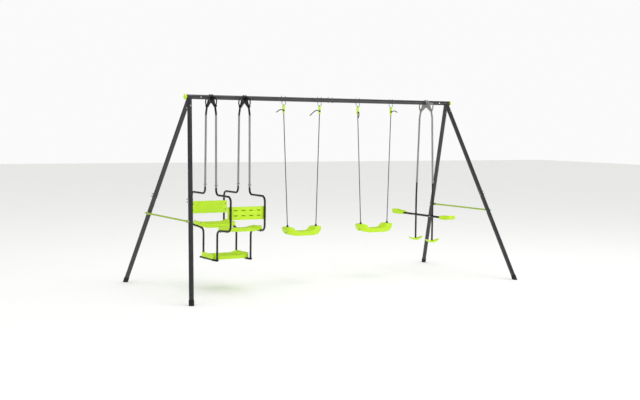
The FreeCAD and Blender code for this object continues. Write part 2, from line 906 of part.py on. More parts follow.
def trim_corners(body, label, half):
    """Rounds the seat's four corners in plan."""
    edge = size("seat_depth") / 2
    frame = [Vector(x, y, 0) for x, y in ((-1, -1), (1, -1), (1, 1), (-1, 1))]
    plan = new_sketch(body, "XY_Plane", label + "Plan")
    draw_outline(plan, rounded([Vector(p.x * half * 2, p.y * edge * 2, 0) for p in frame], [1] * 4))
    inner = [Vector(p.x * half, p.y * edge, 0) for p in frame]
    draw_outline(plan, rounded(inner, [size("seat_corner")] * 4))
    cut_through(body, plan)


def seat_rim(edge, half):
    """Edges where the seat's long and rounded sides meet its top and its underside."""
    box = edge.BoundBox
    side = size("seat_depth") / 2 - 0.5
    flat = box.YLength < 1 and abs(box.YMin) > side
    corner = half - size("seat_corner") - 0.5
    turned = min(abs(box.XMin), abs(box.XMax)) > corner and 1 < box.YLength < 2 * side
    return flat or (turned and not edge.Curve.TypeId.endswith("Line"))


def cut_seat_recesses(body, label, half, low, top):
    """A slot under each lobe's outer end."""
    doc.recompute()
    before = body.Shape.Volume
    for side, which in ((-1, "Left"), (1, "Right")):
        slot = new_sketch(body, "YZ_Plane", f"{label}{which}Slot")
        middle = low + 0.36 * (top - low)
        corners = [Vector(y, z, 0) for y, z in (
            (-33, middle - 6), (33, middle - 6), (33, middle + 6), (-33, middle + 6))]
        draw_outline(slot, rounded(corners, [5.5] * 4))
        slot.AttachmentOffset = Placement(Vector(0, 0, side * (half - 38)), Rotation())
        cut = body.newObject("PartDesign::Pocket", f"{label}{which}SlotCut")
        cut.Profile = slot
        cut.Length = 60
        cut.Reversed = side > 0
        body.Tip = cut
        doc.recompute()
    if body.Shape.Volume > before - 1:
        raise ValueError(label + ": the slots cut nothing")


def make_swing_seat(label, middle):
    """A moulded belt seat with a raised lobe at each end, where the ropes go in."""
    body = new_body(label)
    half = size("seat_width") / 2
    low = size("seat_low")
    top = size("seat_lobe_top")
    dip = top - size("seat_dip")
    right = [
        Vector(50, dip, 0),
        Vector(half - 104, dip + 6, 0),
        Vector(half - 76, top, 0),
        Vector(half, top, 0),
        Vector(half - 3, top - 34, 0),
        Vector(half - 40, low + 14, 0),
        Vector(90, low, 0),
    ]
    radii = [160, 40, 30, 14, 40, 80, 160]
    left = [Vector(-point.x, point.y, 0) for point in reversed(right)]
    outline = new_sketch(body, "XZ_Plane", label + "Outline")
    draw_outline(outline, rounded(right + left, radii + radii[::-1]))
    pad(body, outline, "Sizes.seat_depth", both_ways=True)
    trim_corners(body, label, half)
    round_edges(body, "Sizes.seat_edge", lambda e: seat_rim(e, half))
    cut_seat_recesses(body, label, half, low, top)
    ropes = new_sketch(body, "XY_Plane", label + "Sockets")
    socket = "Sizes.rope_dia + 2 * Sizes.rope_gap"
    draw_circle(ropes, socket, across="Sizes.seat_hole_pitch / 2")
    draw_circle(ropes, socket, across="-Sizes.seat_hole_pitch / 2")
    ropes.AttachmentOffset = Placement(Vector(0, 0, top), Rotation())
    before = body.Shape.Volume
    cut = body.newObject("PartDesign::Pocket", label + "SocketCut")
    cut.Profile = ropes
    cut.setExpression("Length", "Sizes.rope_socket")
    body.Tip = cut
    doc.recompute()
    if body.Shape.Volume > before - 1:
        raise ValueError(label + ": the sockets cut nothing")
    body.Placement = Placement(Vector(middle + size("seat_shift"), 0, 0), Rotation())


def make_rope_swing(name, middle):
    half = size("swing_pitch") / 2
    hooks = []
    for side, which in ((-1, "left"), (1, "right")):
        centre = middle + side * half
        hole = middle + size("seat_shift") + side * size("seat_hole_pitch") / 2
        make_rope(f"{name}_rope_{which}", centre, hole)
        top = Vector(centre, 0, size("hook_low") + size("rope_socket"))
        low = Vector(hole, 0, size("seat_lobe_top") - size("rope_socket"))
        socket = rod_between(low, top, size("rope_dia") + 2 * size("rope_gap"))
        hooks.append(hook_shape(centre).cut(socket))
    feature_of(name + "_hooks", hooks)
    make_swing_seat(name + "_seat", middle)


# ---- rigid hangers ----


def side_point(end, reach, height, place=0):
    return Vector(place, end * reach, height)


def hanger_head(end, joint_reach, place):
    """The forked top of a hanger: cheeks each side of the bracket, an elbow and a spigot."""
    radius = size("rod_dia") / 2
    pivot = side_point(end, size("pivot_reach"), size("pivot_height"), place)
    elbow = side_point(end, size("elbow_reach"), size("elbow_height"), place)
    joint = side_point(end, joint_reach, size("joint_height"), place)
    down = (joint - elbow).normalize()
    stub = elbow + down * size("elbow_stub")
    head = Part.makeCylinder(radius, 2 * radius, pivot - X_AXIS * radius, X_AXIS)
    head = head.fuse(rod_between(pivot, elbow, 2 * radius))
    head = head.fuse(Part.makeSphere(radius, elbow))
    head = head.fuse(rod_between(elbow, stub, 2 * radius))
    spigot = 2 * (radius - size("rod_wall") - size("swage_gap"))
    head = head.fuse(rod_between(stub, stub + down * size("spigot"), spigot))
    gap = size("bracket_plate") + 2 * size("fork_gap")
    arm = (elbow - pivot).normalize()
    slot = Part.makeBox(gap, 60, 40 + size("fork_depth"), Vector(-gap / 2, -30, -size("fork_depth")))
    slot.Placement = Placement(pivot, Rotation(X_AXIS, (arm * -1).cross(X_AXIS), arm * -1, "ZXY"))
    head = head.cut(slot)
    return drilled(head, pivot, X_AXIS, pin_hole(), 60).removeSplitter()


def hanger_tube(end, joint_reach, place):
    """The straight tube between the head and the joint with the lower frame."""
    elbow = side_point(end, size("elbow_reach"), size("elbow_height"), place)
    joint = side_point(end, joint_reach, size("joint_height"), place)
    down = (joint - elbow).normalize()
    bore = size("rod_dia") - 2 * size("rod_wall")
    return tube_between(elbow + down * size("elbow_stub"), joint, size("rod_dia"), bore)


def with_spigot(shape, end, joint_reach, place):
    """The shape with a spigot that goes up into the hanger tube."""
    elbow = side_point(end, size("elbow_reach"), size("elbow_height"), place)
    joint = side_point(end, joint_reach, size("joint_height"), place)
    up = (elbow - joint).normalize()
    spigot = size("rod_dia") - 2 * size("rod_wall") - 2 * size("swage_gap")
    return shape.fuse(rod_between(joint - up * 5, joint + up * size("spigot"), spigot))


def joint_bolt_place(end, joint_reach, place):
    elbow = side_point(end, size("elbow_reach"), size("elbow_height"), place)
    joint = side_point(end, joint_reach, size("joint_height"), place)
    up = (elbow - joint).normalize()
    return joint + up * (size("spigot") / 2)


SMALL_BOLT = 0.6


def small_bolt(grip):
    return bolt_with_nut(grip, SMALL_BOLT * size("bolt_dia"), SMALL_BOLT)


def small_hole():
    return SMALL_BOLT * size("bolt_dia") + 2 * size("bolt_gap")


def pivot_bolt():
    return bolt_with_nut(size("rod_dia"))


def hanger_bolts(end, joint_reach, places):
    """Pivot bolts along X and the small bolts that hold the tubes together."""
    shapes = []
    half = X_AXIS * (size("rod_dia") / 2)
    for place in places:
        pivot = side_point(end, size("pivot_reach"), size("pivot_height"), place)
        shapes += aimed(pivot_bolt(), pivot + half, X_AXIS * -1)
        joint = joint_bolt_place(end, joint_reach, place)
        shapes += aimed(small_bolt(size("rod_dia")), joint + half, X_AXIS * -1)
    return shapes


# ---- face-to-face glider ----


def glider_places():
    return {"left": size("glider_left"), "right": size("glider_right")}


def glider_middle():
    return (size("glider_left") + size("glider_right")) / 2


def glider_half():
    return (size("glider_right") - size("glider_left")) / 2


def back_bolt_heights():
    low = size("back_low")
    high = size("back_high")
    return [low + 0.28 * (high - low), low + 0.75 * (high - low)]


def rail_slope():
    """The angle at which a seat rail rises towards its backrest."""
    rise = size("rail_back") - size("rail_front")
    return math.atan2(rise, size("arm_reach") - size("glider_foot_reach"))


def pan_middle():
    return (size("pan_back") + size("pan_front")) / 2


def rail_place(end):
    """The frame of a seat: its origin between the rails, Z square to them."""
    run = pan_middle() - size("glider_foot_reach")
    height = size("rail_front") + run * math.tan(rail_slope())
    tilt = Rotation(X_AXIS, end * math.degrees(rail_slope()))
    return Placement(side_point(end, pan_middle(), height, glider_middle()), tilt)


def pan_bolt_offsets():
    """Where the pan's bolts stand along the rail, from the pan's middle."""
    front = size("glider_foot_reach") + size("frame_bend") + 14
    back = size("pan_back") - 22
    return [front - pan_middle(), back - pan_middle()]


def rail_point(end, side, offset, height):
    """A point over a rail: offset outwards from the pan's middle, height square to the rail."""
    return rail_place(end).multVec(Vector(side * glider_half(), end * offset, height))


def glider_side_frame(end, place):
    """The bent tube under a hanger: arm rest, back upright, seat rail and leg."""
    bend = size("frame_bend")
    joint_reach = size("glider_joint_reach")
    elbow = side_point(end, size("elbow_reach"), size("elbow_height"), place)
    joint = side_point(end, joint_reach, size("joint_height"), place)
    down = (joint - elbow).normalize()
    arm = joint + down * ((size("joint_height") - size("arm_height")) / -down.z)
    corners = [
        joint,
        arm,
        side_point(end, size("arm_reach"), size("arm_height"), place),
        side_point(end, size("arm_reach"), size("rail_back"), place),
        side_point(end, size("glider_foot_reach"), size("rail_front"), place),
        side_point(end, size("glider_foot_reach"), size("glider_foot_height") - size("foot_end"), place),
    ]
    radii = [0, bend, bend, bend, bend, 0]
    outer = bent_rod(corners, radii, size("rod_dia"))
    inner = bent_rod(corners, radii, size("rod_dia") - 2 * size("rod_wall"))
    tube = with_spigot(outer.cut(inner), end, joint_reach, place)
    tube = drilled(tube, joint_bolt_place(end, joint_reach, place), X_AXIS, small_hole(), 60)
    for height in back_bolt_heights():
        at = side_point(end, size("arm_reach"), height, place)
        tube = drilled(tube, at, Y_AXIS, small_hole(), 60)
    side = 1 if place > glider_middle() else -1
    upright = rail_place(end).Rotation.multVec(Z_AXIS)
    for offset in pan_bolt_offsets():
        tube = drilled(tube, rail_point(end, side, offset, 0), upright, small_hole(), 60)
    foot = side_point(end, size("glider_foot_reach"), size("glider_foot_height"), place)
    return drilled(tube, foot, X_AXIS, pin_hole(), 60)


def pin_hole():
    """A running hole for a pivot bolt."""
    return size("bolt_dia") + 2 * size("pin_gap")


def link_holes(bar, reach, height, place):
    """A linking bar's two pivots: a running hole at the back, and a slot that slides at the front.

    The hangers' feet draw together a little as they swing, so the front bolt needs the slot.
    """
    bar = drilled(bar, Vector(place, reach, height), X_AXIS, pin_hole(), 60)
    radius = size("bolt_dia") / 2 + size("slot_lift")
    start = Vector(place - 30, -reach, height)
    slide = Y_AXIS * size("slot_slide")
    slot = Part.makeCylinder(radius, 60, start, X_AXIS)
    slot = slot.fuse(Part.makeCylinder(radius, 60, start + slide, X_AXIS))
    box = Part.makeBox(60, size("slot_slide"), 2 * radius, start - Z_AXIS * radius)
    return bar.cut(slot.fuse(box))


def dished_outline(half, inside, base, drop, thickness, rise):
    """A tread's profile: raised ends that rest at the base, and a middle that hangs lower."""
    low = base - drop
    right = [
        Vector(half, base, 0),
        Vector(half, base + rise, 0),
        Vector(inside - 4, base + rise, 0),
        Vector(inside - 46, low + thickness, 0),
    ]
    left = [Vector(-p.x, p.y, 0) for p in reversed(right)]
    under = [
        Vector(-inside, base, 0),
        Vector(-inside + 34, low, 0),
        Vector(inside - 34, low, 0),
        Vector(inside, base, 0),
    ]
    radii = [3, 12, 26, 60]
    return rounded(right + left + under, radii + radii[::-1] + [8, 30, 30, 8])


def make_tread(label, half, base, drop, thickness, rise, depth, bolts):
    """A moulded seat or step: a dished profile along Y, with a rib and bolt holes at each end."""
    body = new_body(label)
    inside = glider_half() - size("rod_dia") / 2 - 2
    outline = new_sketch(body, "XZ_Plane", label + "Outline")
    draw_outline(outline, dished_outline(half, inside, base, drop, thickness, rise))
    pad(body, outline, depth, both_ways=True)
    rim = sheet.evalExpression(depth) / 2 - 0.5
    round_edges(body, "4", lambda e: abs(e.BoundBox.YMin) > rim and e.BoundBox.YLength < 1)
    holes = new_sketch(body, "XY_Plane", label + "Holes")
    for offset in bolts:
        for side in (-1, 1):
            across = str(side * glider_half())
            draw_circle(holes, str(small_hole()), across=across, along=str(offset))
    cut_through(body, holes)
    return body


def make_glider_pan(end, label):
    half = glider_half() + size("pan_overhang")
    depth = "Sizes.pan_back - Sizes.pan_front"
    bolts = [end * offset for offset in pan_bolt_offsets()]
    base = size("rod_dia") / 2
    body = make_tread(label, half, base, size("pan_drop"), size("pan_thickness"),
                      size("pan_rise"), depth, bolts)
    body.Placement = rail_place(end)


def make_glider_back(end, label):
    """A moulded back board on the inner side of the uprights, with slots on its outer face."""
    body = new_body(label)
    half = glider_half() + size("back_overhang")
    low = size("back_low")
    high = size("back_high")
    outline = new_sketch(body, "XZ_Plane", label + "Outline")
    corners = [Vector(-half, low, 0), Vector(half, low, 0), Vector(half, high, 0), Vector(-half, high, 0)]
    draw_outline(outline, rounded(corners, [8] * 4))
    pad(body, outline, "Sizes.back_thickness", both_ways=True)
    rim = size("back_thickness") / 2 - 0.5
    round_edges(body, "3", lambda e: abs(e.BoundBox.YMin) > rim and e.BoundBox.YLength < 1)
    doc.recompute()
    before = body.Shape.Volume
    slots = new_sketch(body, "XZ_Plane", label + "Slots")
    for height in (low + 0.32 * (high - low), low + 0.76 * (high - low)):
        for column in range(4):
            x = (column - 1.5) * 0.41 * half
            w = 0.14 * half
            corners = [Vector(x - w, height - 6, 0), Vector(x + w, height - 6, 0),
                       Vector(x + w, height + 6, 0), Vector(x - w, height + 6, 0)]
            draw_outline(slots, rounded(corners, [5] * 4))
    # the plane's normal is -Y, so the outer face of the back at +Y lies behind it
    offset = -size("back_thickness") / 2 * end
    slots.AttachmentOffset = Placement(Vector(0, 0, offset), Rotation())
    cut = body.newObject("PartDesign::Pocket", label + "SlotCut")
    cut.Profile = slots
    cut.Length = 8
    cut.Reversed = end > 0
    body.Tip = cut
    doc.recompute()
    if body.Shape.Volume > before - 1:
        raise ValueError(label + ": the slots cut nothing")
    holes = new_sketch(body, "XZ_Plane", label + "Holes")
    for height in back_bolt_heights():
        for side in (-1, 1):
            draw_circle(holes, str(small_hole()), across=str(side * glider_half()), along=str(height))
    cut_through(body, holes)
    inner = size("arm_reach") - size("rod_dia") / 2 - size("back_thickness") / 2
    body.Placement = Placement(Vector(glider_middle(), end * inner, 0), Rotation())


def make_glider_half(end, name):
    """One hanging seat of the glider."""
    places = glider_places()
    reach = size("glider_joint_reach")
    heads = [hanger_head(end, reach, place) for place in places.values()]
    feature_of(name + "_hanger_heads", heads)
    tubes = []
    for place in places.values():
        tube = hanger_tube(end, reach, place)
        tubes.append(drilled(tube, joint_bolt_place(end, reach, place), X_AXIS, small_hole(), 60))
    feature_of(name + "_hanger_tubes", tubes)
    feature_of(name + "_frames", [glider_side_frame(end, place) for place in places.values()])
    make_glider_pan(end, name + "_seat")
    make_glider_back(end, name + "_backrest")
    bolts = hanger_bolts(end, reach, places.values())
    half_tube = size("rod_dia") / 2
    for place in places.values():
        for height in back_bolt_heights():
            outer = side_point(end, size("arm_reach") + half_tube, height, place)
            grip = size("rod_dia") + size("back_thickness")
            bolts += aimed(small_bolt(grip), outer, Y_AXIS * -end)
        upright = rail_place(end).Rotation.multVec(Z_AXIS)
        side = 1 if place > glider_middle() else -1
        for offset in pan_bolt_offsets():
            low = rail_point(end, side, offset, -half_tube)
            grip = size("rod_dia") + size("pan_rise")
            bolts += aimed(small_bolt(grip), low, upright)
        foot = side_point(end, size("glider_foot_reach"), size("glider_foot_height"), place)
        grip = 2 * size("rod_dia") + 2 * size("turn_gap")
        bolts += aimed(bolt_with_nut(grip), foot + X_AXIS * (half_tube - grip), X_AXIS)
    feature_of(name + "_bolts", bolts)


def rest_bar_place(side):
    """A footrest bar hangs on the left of its two legs, clear of them by the turning gap."""
    return glider_middle() + side * glider_half() - size("rod_dia") - size("turn_gap")


def make_footrest():
    """Two bars beside the glider's legs, and the tread that lies on them."""
    height = size("glider_foot_height")
    stop = size("glider_foot_reach") + size("rest_bar_end")
    bore = size("rod_dia") - 2 * size("rod_wall")
    bars = []
    bolts = []
    for side in (-1, 1):
        place = rest_bar_place(side)
        start = Vector(place, -stop, height)
        bar = tube_between(start, start + Y_AXIS * 2 * stop, size("rod_dia"), bore)
        bar = link_holes(bar, size("glider_foot_reach"), height, place)
        for offset in rest_bolt_offsets():
            mount = Vector(place, offset, height)
            bar = drilled(bar, mount, Z_AXIS, small_hole(), 60)
            low = mount - Z_AXIS * (size("rod_dia") / 2)
            bolts += aimed(small_bolt(size("rod_dia") + size("rest_pan_rise")), low, Z_AXIS)
        bars.append(bar)
    feature_of("footrest_bars", bars)
    half = glider_half() + size("rest_overhang")
    base = size("rod_dia") / 2
    tread = make_tread("footrest_pan", half, base, size("rest_pan_drop"),
                       size("rest_pan_thickness"), size("rest_pan_rise"),
                       "Sizes.rest_pan_depth", rest_bolt_offsets())
    middle = (rest_bar_place(-1) + rest_bar_place(1)) / 2
    tread.Placement = Placement(Vector(middle, 0, height), Rotation())
    feature_of("footrest_bolts", bolts)


def rest_bolt_offsets():
    reach = size("rest_pan_depth") / 2 - 30
    return [-reach, reach]


# ---- see-saw glider ----


def seesaw_rod(end):
    """The lower rod of a see-saw hanger, straight down to the foot peg."""
    place = size("seesaw_place")
    reach = size("seesaw_joint_reach")
    joint = side_point(end, reach, size("joint_height"), place)
    elbow = side_point(end, size("elbow_reach"), size("elbow_height"), place)
    down = (joint - elbow).normalize()
    along = (size("beam_reach") - reach) / abs(down.y)
    knee = joint + down * along
    foot = side_point(end, size("beam_reach"), size("peg_height") + size("peg_socket"), place)
    corners = [joint, knee, foot]
    rod = bent_rod(corners, [0, 200, 0], size("rod_dia"))
    rod = rod.cut(bent_rod(corners, [0, 200, 0], size("rod_dia") - 2 * size("rod_wall")))
    rod = with_spigot(rod, end, reach, place)
    rod = drilled(rod, joint_bolt_place(end, reach, place), X_AXIS, small_hole(), 60)
    at = side_point(end, size("beam_reach"), size("beam_height"), place)
    return drilled(rod, at, X_AXIS, pin_hole(), 60)


def make_peg(end, label):
    """A winged foot peg with a socket for the rod's end."""
    body = new_body(label)
    half = size("peg_width") / 2
    low = size("peg_height")
    rise = size("peg_rise")
    thick = size("peg_thickness")
    right = [
        Vector(18, low, 0),
        Vector(half, low + rise, 0),
        Vector(half - 3, low + rise + 8, 0),
        Vector(22, low + thick + 6, 0),
    ]
    left = [Vector(-p.x, p.y, 0) for p in reversed(right)]
    outline = new_sketch(body, "XZ_Plane", label + "Outline")
    radii = [40, 3, 3, 30]
    draw_outline(outline, rounded(right + left, radii + radii[::-1]))
    pad(body, outline, "Sizes.peg_depth", both_ways=True)
    rim = size("peg_depth") / 2 - 0.5
    round_edges(body, "2", lambda e: abs(e.BoundBox.YMin) > rim and e.BoundBox.YLength < 1)
    socket = new_sketch(body, "XY_Plane", label + "Socket")
    draw_circle(socket, "Sizes.rod_dia + 2 * Sizes.sleeve_gap")
    socket.setExpression("AttachmentOffset.Base.z", "Sizes.peg_height + Sizes.peg_socket")
    doc.recompute()
    before = body.Shape.Volume
    cut = body.newObject("PartDesign::Pocket", label + "SocketCut")
    cut.Profile = socket
    cut.Length = 60
    cut.Reversed = True
    body.Tip = cut
    doc.recompute()
    if body.Shape.Volume > before - 1:
        raise ValueError(label + ": the socket cuts nothing")
    place = Vector(size("seesaw_place"), end * size("beam_reach"), 0)
    body.Placement = Placement(place, Rotation())


def beam_place():
    return size("seesaw_place") - size("rod_dia") / 2 - size("beam_gap") - size("beam_dia") / 2


def make_beam():
    height = size("beam_height")
    half = size("beam_half")
    place = beam_place()
    bore = size("beam_dia") - 2 * size("beam_wall")
    start = Vector(place, -half, height)
    beam = tube_between(start, start + Y_AXIS * 2 * half, size("beam_dia"), bore)
    beam = link_holes(beam, size("beam_reach"), height, place)
    bolts = []
    for end in (-1, 1):
        for reach in saddle_bolt_reaches():
            mount = side_point(end, reach, height, place)
            beam = drilled(beam, mount, Z_AXIS, small_hole(), 60)
            low = side_point(end, reach, saddle_low(), place)
            bolts += aimed(small_bolt(saddle_bolt_grip()), low, Z_AXIS)
    feature_of("seesaw_beam", [beam])
    feature_of("seesaw_saddle_bolts", bolts)


def saddle_low():
    return size("beam_height") - size("beam_dia") / 2 - 3


def saddle_bolt_grip():
    return 36


def saddle_bolt_reaches():
    return [size("saddle_inner") + 30, size("beam_half") - 25]


def make_saddle(end, label):
    """A moulded saddle seat that the beam's end plugs into."""
    body = new_body(label)
    inner = size("saddle_inner")
    outer = size("saddle_outer")
    low = saddle_low()
    deck = low + saddle_bolt_grip()
    outline = new_sketch(body, "YZ_Plane", label + "Outline")
    corners = [
        Vector(end * inner, low, 0),
        Vector(end * (outer - 40), low, 0),
        Vector(end * outer, low + 24, 0),
        Vector(end * (outer - 4), low + 50, 0),
        Vector(end * (outer - 70), deck, 0),
        Vector(end * (inner + 6), deck, 0),
    ]
    draw_outline(outline, rounded(corners, [4, 60, 8, 6, 60, 12]))
    pad(body, outline, "Sizes.saddle_width", both_ways=True)
    rim = size("saddle_width") / 2 - 0.5
    round_edges(body, "6", lambda e: abs(e.BoundBox.XMin) > rim and e.BoundBox.XLength < 1)
    socket = new_sketch(body, "XZ_Plane", label + "Socket")
    draw_circle(socket, "Sizes.beam_dia + 2 * Sizes.sleeve_gap", along="Sizes.beam_height")
    doc.recompute()
    before = body.Shape.Volume
    cut = body.newObject("PartDesign::Pocket", label + "SocketCut")
    cut.Profile = socket
    cut.setExpression("Length", "Sizes.beam_half")
    cut.Reversed = end < 0
    body.Tip = cut
    doc.recompute()
    if body.Shape.Volume > before - 1:
        raise ValueError(label + ": the socket cuts nothing")
    holes = new_sketch(body, "XY_Plane", label + "Holes")
    for reach in saddle_bolt_reaches():
        draw_circle(holes, str(small_hole()), along=str(end * reach))
    cut_through(body, holes)
    body.Placement = Placement(Vector(beam_place(), 0, 0), Rotation())


def make_seesaw_hanger(end, name):
    place = size("seesaw_place")
    reach = size("seesaw_joint_reach")
    feature_of(name + "_head", [hanger_head(end, reach, place)])
    tube = hanger_tube(end, reach, place)
    tube = drilled(tube, joint_bolt_place(end, reach, place), X_AXIS, small_hole(), 60)
    feature_of(name + "_tube", [tube])
    feature_of(name + "_rod", [seesaw_rod(end)])
    make_peg(end, name + "_peg")
    bolts = hanger_bolts(end, reach, [place])
    grip = size("beam_dia") + size("beam_gap") + size("rod_dia") + size("turn_gap")
    back = side_point(end, size("beam_reach"), size("beam_height"), place + size("rod_dia") / 2)
    bolts += aimed(bolt_with_nut(grip), back, X_AXIS * -1)
    feature_of(name + "_bolts", bolts)


# ---- everything ----


def make_all():
    make_top_bar()
    make_end_caps()
    for side, which in ((-1, "left"), (1, "right")):
        make_corner_connector(side, "corner_connector_" + which)
        for end, row in ((-1, "front"), (1, "back")):
            make_leg(side, end, f"leg_{which}_{row}")
        make_brace(side, "cross_brace_" + which)
    make_foot_caps()
    make_tube_bolts()
    make_brace_bolts()
    for label, place in brackets().items():
        make_bracket(label, place)
    make_bracket_bolts()
    make_bow_bolts()
    make_rope_swing("left_swing", size("swing_left"))
    make_rope_swing("right_swing", size("swing_right"))
    make_glider_half(1, "glider_back")
    make_glider_half(-1, "glider_front")
    make_footrest()
    make_seesaw_hanger(1, "seesaw_back")
    make_seesaw_hanger(-1, "seesaw_front")
    make_beam()
    make_saddle(1, "seesaw_saddle_back")
    make_saddle(-1, "seesaw_saddle_front")


def check_all():
    doc.recompute()
    for item in doc.Objects:
        if "Invalid" in item.State or "Error" in item.State:
            raise ValueError(f"{item.Label} failed: {item.State}")
    for node in nodes:
        if node.Shape.isNull() or not node.Shape.isValid():
            raise ValueError(f"{node.Label} has no valid shape")
        if not node.Shape.Solids:
            raise ValueError(f"{node.Label} has no solid")


def write_all():
    os.makedirs("parts", exist_ok=True)
    for node in nodes:
        node.Shape.exportStep(f"parts/{node.Label}.step")
    print(len(nodes), "nodes written")


make_all()
check_all()
write_all()
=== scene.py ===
"""Looks of a garden swing set: face-to-face glider, two rope swings and a see-saw glider."""
import math

import bpy
from mathutils import Matrix, Vector


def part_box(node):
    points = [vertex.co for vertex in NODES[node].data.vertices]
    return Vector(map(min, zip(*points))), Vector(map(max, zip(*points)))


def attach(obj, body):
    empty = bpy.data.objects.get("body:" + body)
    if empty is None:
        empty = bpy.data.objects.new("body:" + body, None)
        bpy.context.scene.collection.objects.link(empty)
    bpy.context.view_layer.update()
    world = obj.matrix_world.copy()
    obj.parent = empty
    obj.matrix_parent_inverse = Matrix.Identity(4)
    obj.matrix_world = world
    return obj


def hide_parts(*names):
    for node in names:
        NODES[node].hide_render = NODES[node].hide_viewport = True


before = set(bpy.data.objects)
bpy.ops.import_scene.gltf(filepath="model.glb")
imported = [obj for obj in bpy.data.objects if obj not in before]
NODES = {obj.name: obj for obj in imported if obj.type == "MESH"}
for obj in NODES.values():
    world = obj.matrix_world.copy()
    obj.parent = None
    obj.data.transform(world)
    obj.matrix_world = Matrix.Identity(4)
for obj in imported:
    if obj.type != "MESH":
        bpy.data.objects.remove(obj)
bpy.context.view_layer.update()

MM = 0.001

# the rope's own sizes, in millimetres: its thickness, the length of one turn, and its knots
ROPE = 10
ROPE_LAY = 34
KNOT = 20
# what the ropes meet: how far each hook and each seat socket is from the swing's middle
HOOK_REACH = 200
SOCKET_REACH = 159
HOOK_RING = 14
# the boot round a rope where it goes into the seat
BOOT_RADIUS = 12.5
BOOT_HEIGHT = 20
BOOT_LIFT = 9.5

# the glider's treads: they lie on tubes of this radius, and hang lower between them
TUBE_RADIUS = 9.5
TREAD_THICKNESS = 33
SEAT_DEPTH = 196
SEAT_RISE = 34
SEAT_DROP = 15
FOOTREST_RISE = 44
FOOTREST_DROP = 8
# the seats' rails: their reach and height at the inner end, and how they climb towards the back
RAIL_REACH = 150
RAIL_HEIGHT = 557
RAIL_RUN = 276
RAIL_CLIMB = 17
SEAT_REACH = 274

# the free ends above the hooks: points from each hook's middle, as the ropes were routed
FREE_ENDS = {
    "left_swing_rope_left": [
        (-8, -17, 1673), (-33, -18, 1682), (-61, -19, 1676), (-92, -21, 1653)
    ],
    "left_swing_rope_right": [
        (-8, -17, 1672), (-34, -18, 1682), (-65, -20, 1674), (-94, -21, 1651), (-121, -20, 1627)
    ],
    "right_swing_rope_left": [
        (0, -17, 1666), (3, -23, 1648), (-2, -26, 1630), (-14, -26, 1604)
    ],
    "right_swing_rope_right": [
        (-8, -17, 1677), (18, -19, 1690), (44, -20, 1688), (66, -21, 1673)
    ],
}


# ---- modelling ----


def only(piece):
    """Selects one piece and nothing else."""
    bpy.ops.object.select_all(action="DESELECT")
    piece.select_set(True)
    bpy.context.view_layer.objects.active = piece


def block(name, size, cuts):
    """A box round the origin, with edge loops at the given places along X, Y and Z."""
    bpy.ops.object.select_all(action="DESELECT")
    bpy.ops.mesh.primitive_cube_add(size=1)
    piece = bpy.context.object
    piece.name = piece.data.name = name
    piece.scale = Vector(size) * MM
    bpy.ops.object.transform_apply(location=False, rotation=False, scale=True)
    bpy.ops.object.mode_set(mode="EDIT")
    for axis, places in enumerate(cuts):
        square = Vector((axis == 0, axis == 1, axis == 2))
        for place in places:
            bpy.ops.mesh.select_all(action="SELECT")
            bpy.ops.mesh.bisect(plane_co=square * place * MM, plane_no=square)
    bpy.ops.object.mode_set(mode="OBJECT")
    return piece


def both(*places):
    """Each place, and the same on the other side."""
    return [side * place for place in places for side in (-1, 1)]


def pick(piece, kind, test):
    """Opens a piece in edit mode, with the points or faces selected that pass a test."""
    only(piece)
    bpy.ops.object.mode_set(mode="EDIT")
    bpy.ops.mesh.select_mode(type=kind)
    bpy.ops.mesh.select_all(action="DESELECT")
    bpy.ops.object.mode_set(mode="OBJECT")
    if kind == "VERT":
        for point in piece.data.vertices:
            point.select = test(point.co / MM)
    else:
        for face in piece.data.polygons:
            face.select = test(face.center / MM, face.normal)
    bpy.ops.object.mode_set(mode="EDIT")


def shift(piece, test, by):
    """Moves the points that pass a test."""
    pick(piece, "VERT", test)
    bpy.ops.transform.translate(value=Vector(by) * MM)
    bpy.ops.object.mode_set(mode="OBJECT")


def narrow(piece, test, factors):
    """Draws the points that pass a test in towards the middle planes."""
    pick(piece, "VERT", test)
    bpy.ops.transform.resize(value=factors, center_override=(0, 0, 0))
    bpy.ops.object.mode_set(mode="OBJECT")


def sink(piece, test, rim, by, shade=None):
    """Sinks the faces that pass a test, each inside a rim of its own, and may shade their floors."""
    if shade and len(piece.data.materials) < 2:
        piece.data.materials.append(None)
        piece.data.materials.append(shade)
    pick(piece, "FACE", test)
    bpy.ops.mesh.inset(thickness=rim * MM, use_individual=True)
    bpy.ops.mesh.extrude_region_move(TRANSFORM_OT_translate={"value": Vector(by) * MM})
    if shade:
        piece.active_material_index = 1
        bpy.ops.object.material_slot_assign()
    bpy.ops.object.mode_set(mode="OBJECT")


def soften(piece, levels=2):
    """Turns the cage into the smooth skin of a moulding."""
    only(piece)
    skin = piece.modifiers.new("Skin", "SUBSURF")
    skin.levels = skin.render_levels = levels
    bpy.ops.object.modifier_apply(modifier=skin.name)
    bpy.ops.object.shade_smooth()


def put(piece, at, tilt=0):
    """Places a finished shape, and leaves its object at the world's origin."""
    only(piece)
    piece.location = at
    piece.rotation_euler = (tilt, 0, 0)
    bpy.ops.object.transform_apply(location=True, rotation=True, scale=True)


def fit(piece, material, body, node):
    """Finishes a piece, lets it ride on its body and stand for its node."""
    if len(piece.data.materials):
        piece.data.materials[0] = material
    else:
        piece.data.materials.append(material)
    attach(piece, body)
    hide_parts(node)


def near(value, place):
    """Whether a point lies at a place, within half a millimetre."""
    return abs(value - place) < 0.5


# ---- materials ----


def paint(code):
    """A colour from its sRGB hex code, in linear light."""
    parts = [int(code[i:i + 2], 16) / 255 for i in (1, 3, 5)]
    return tuple(v / 12.92 if v <= 0.04045 else ((v + 0.055) / 1.055) ** 2.4 for v in parts) + (1,)


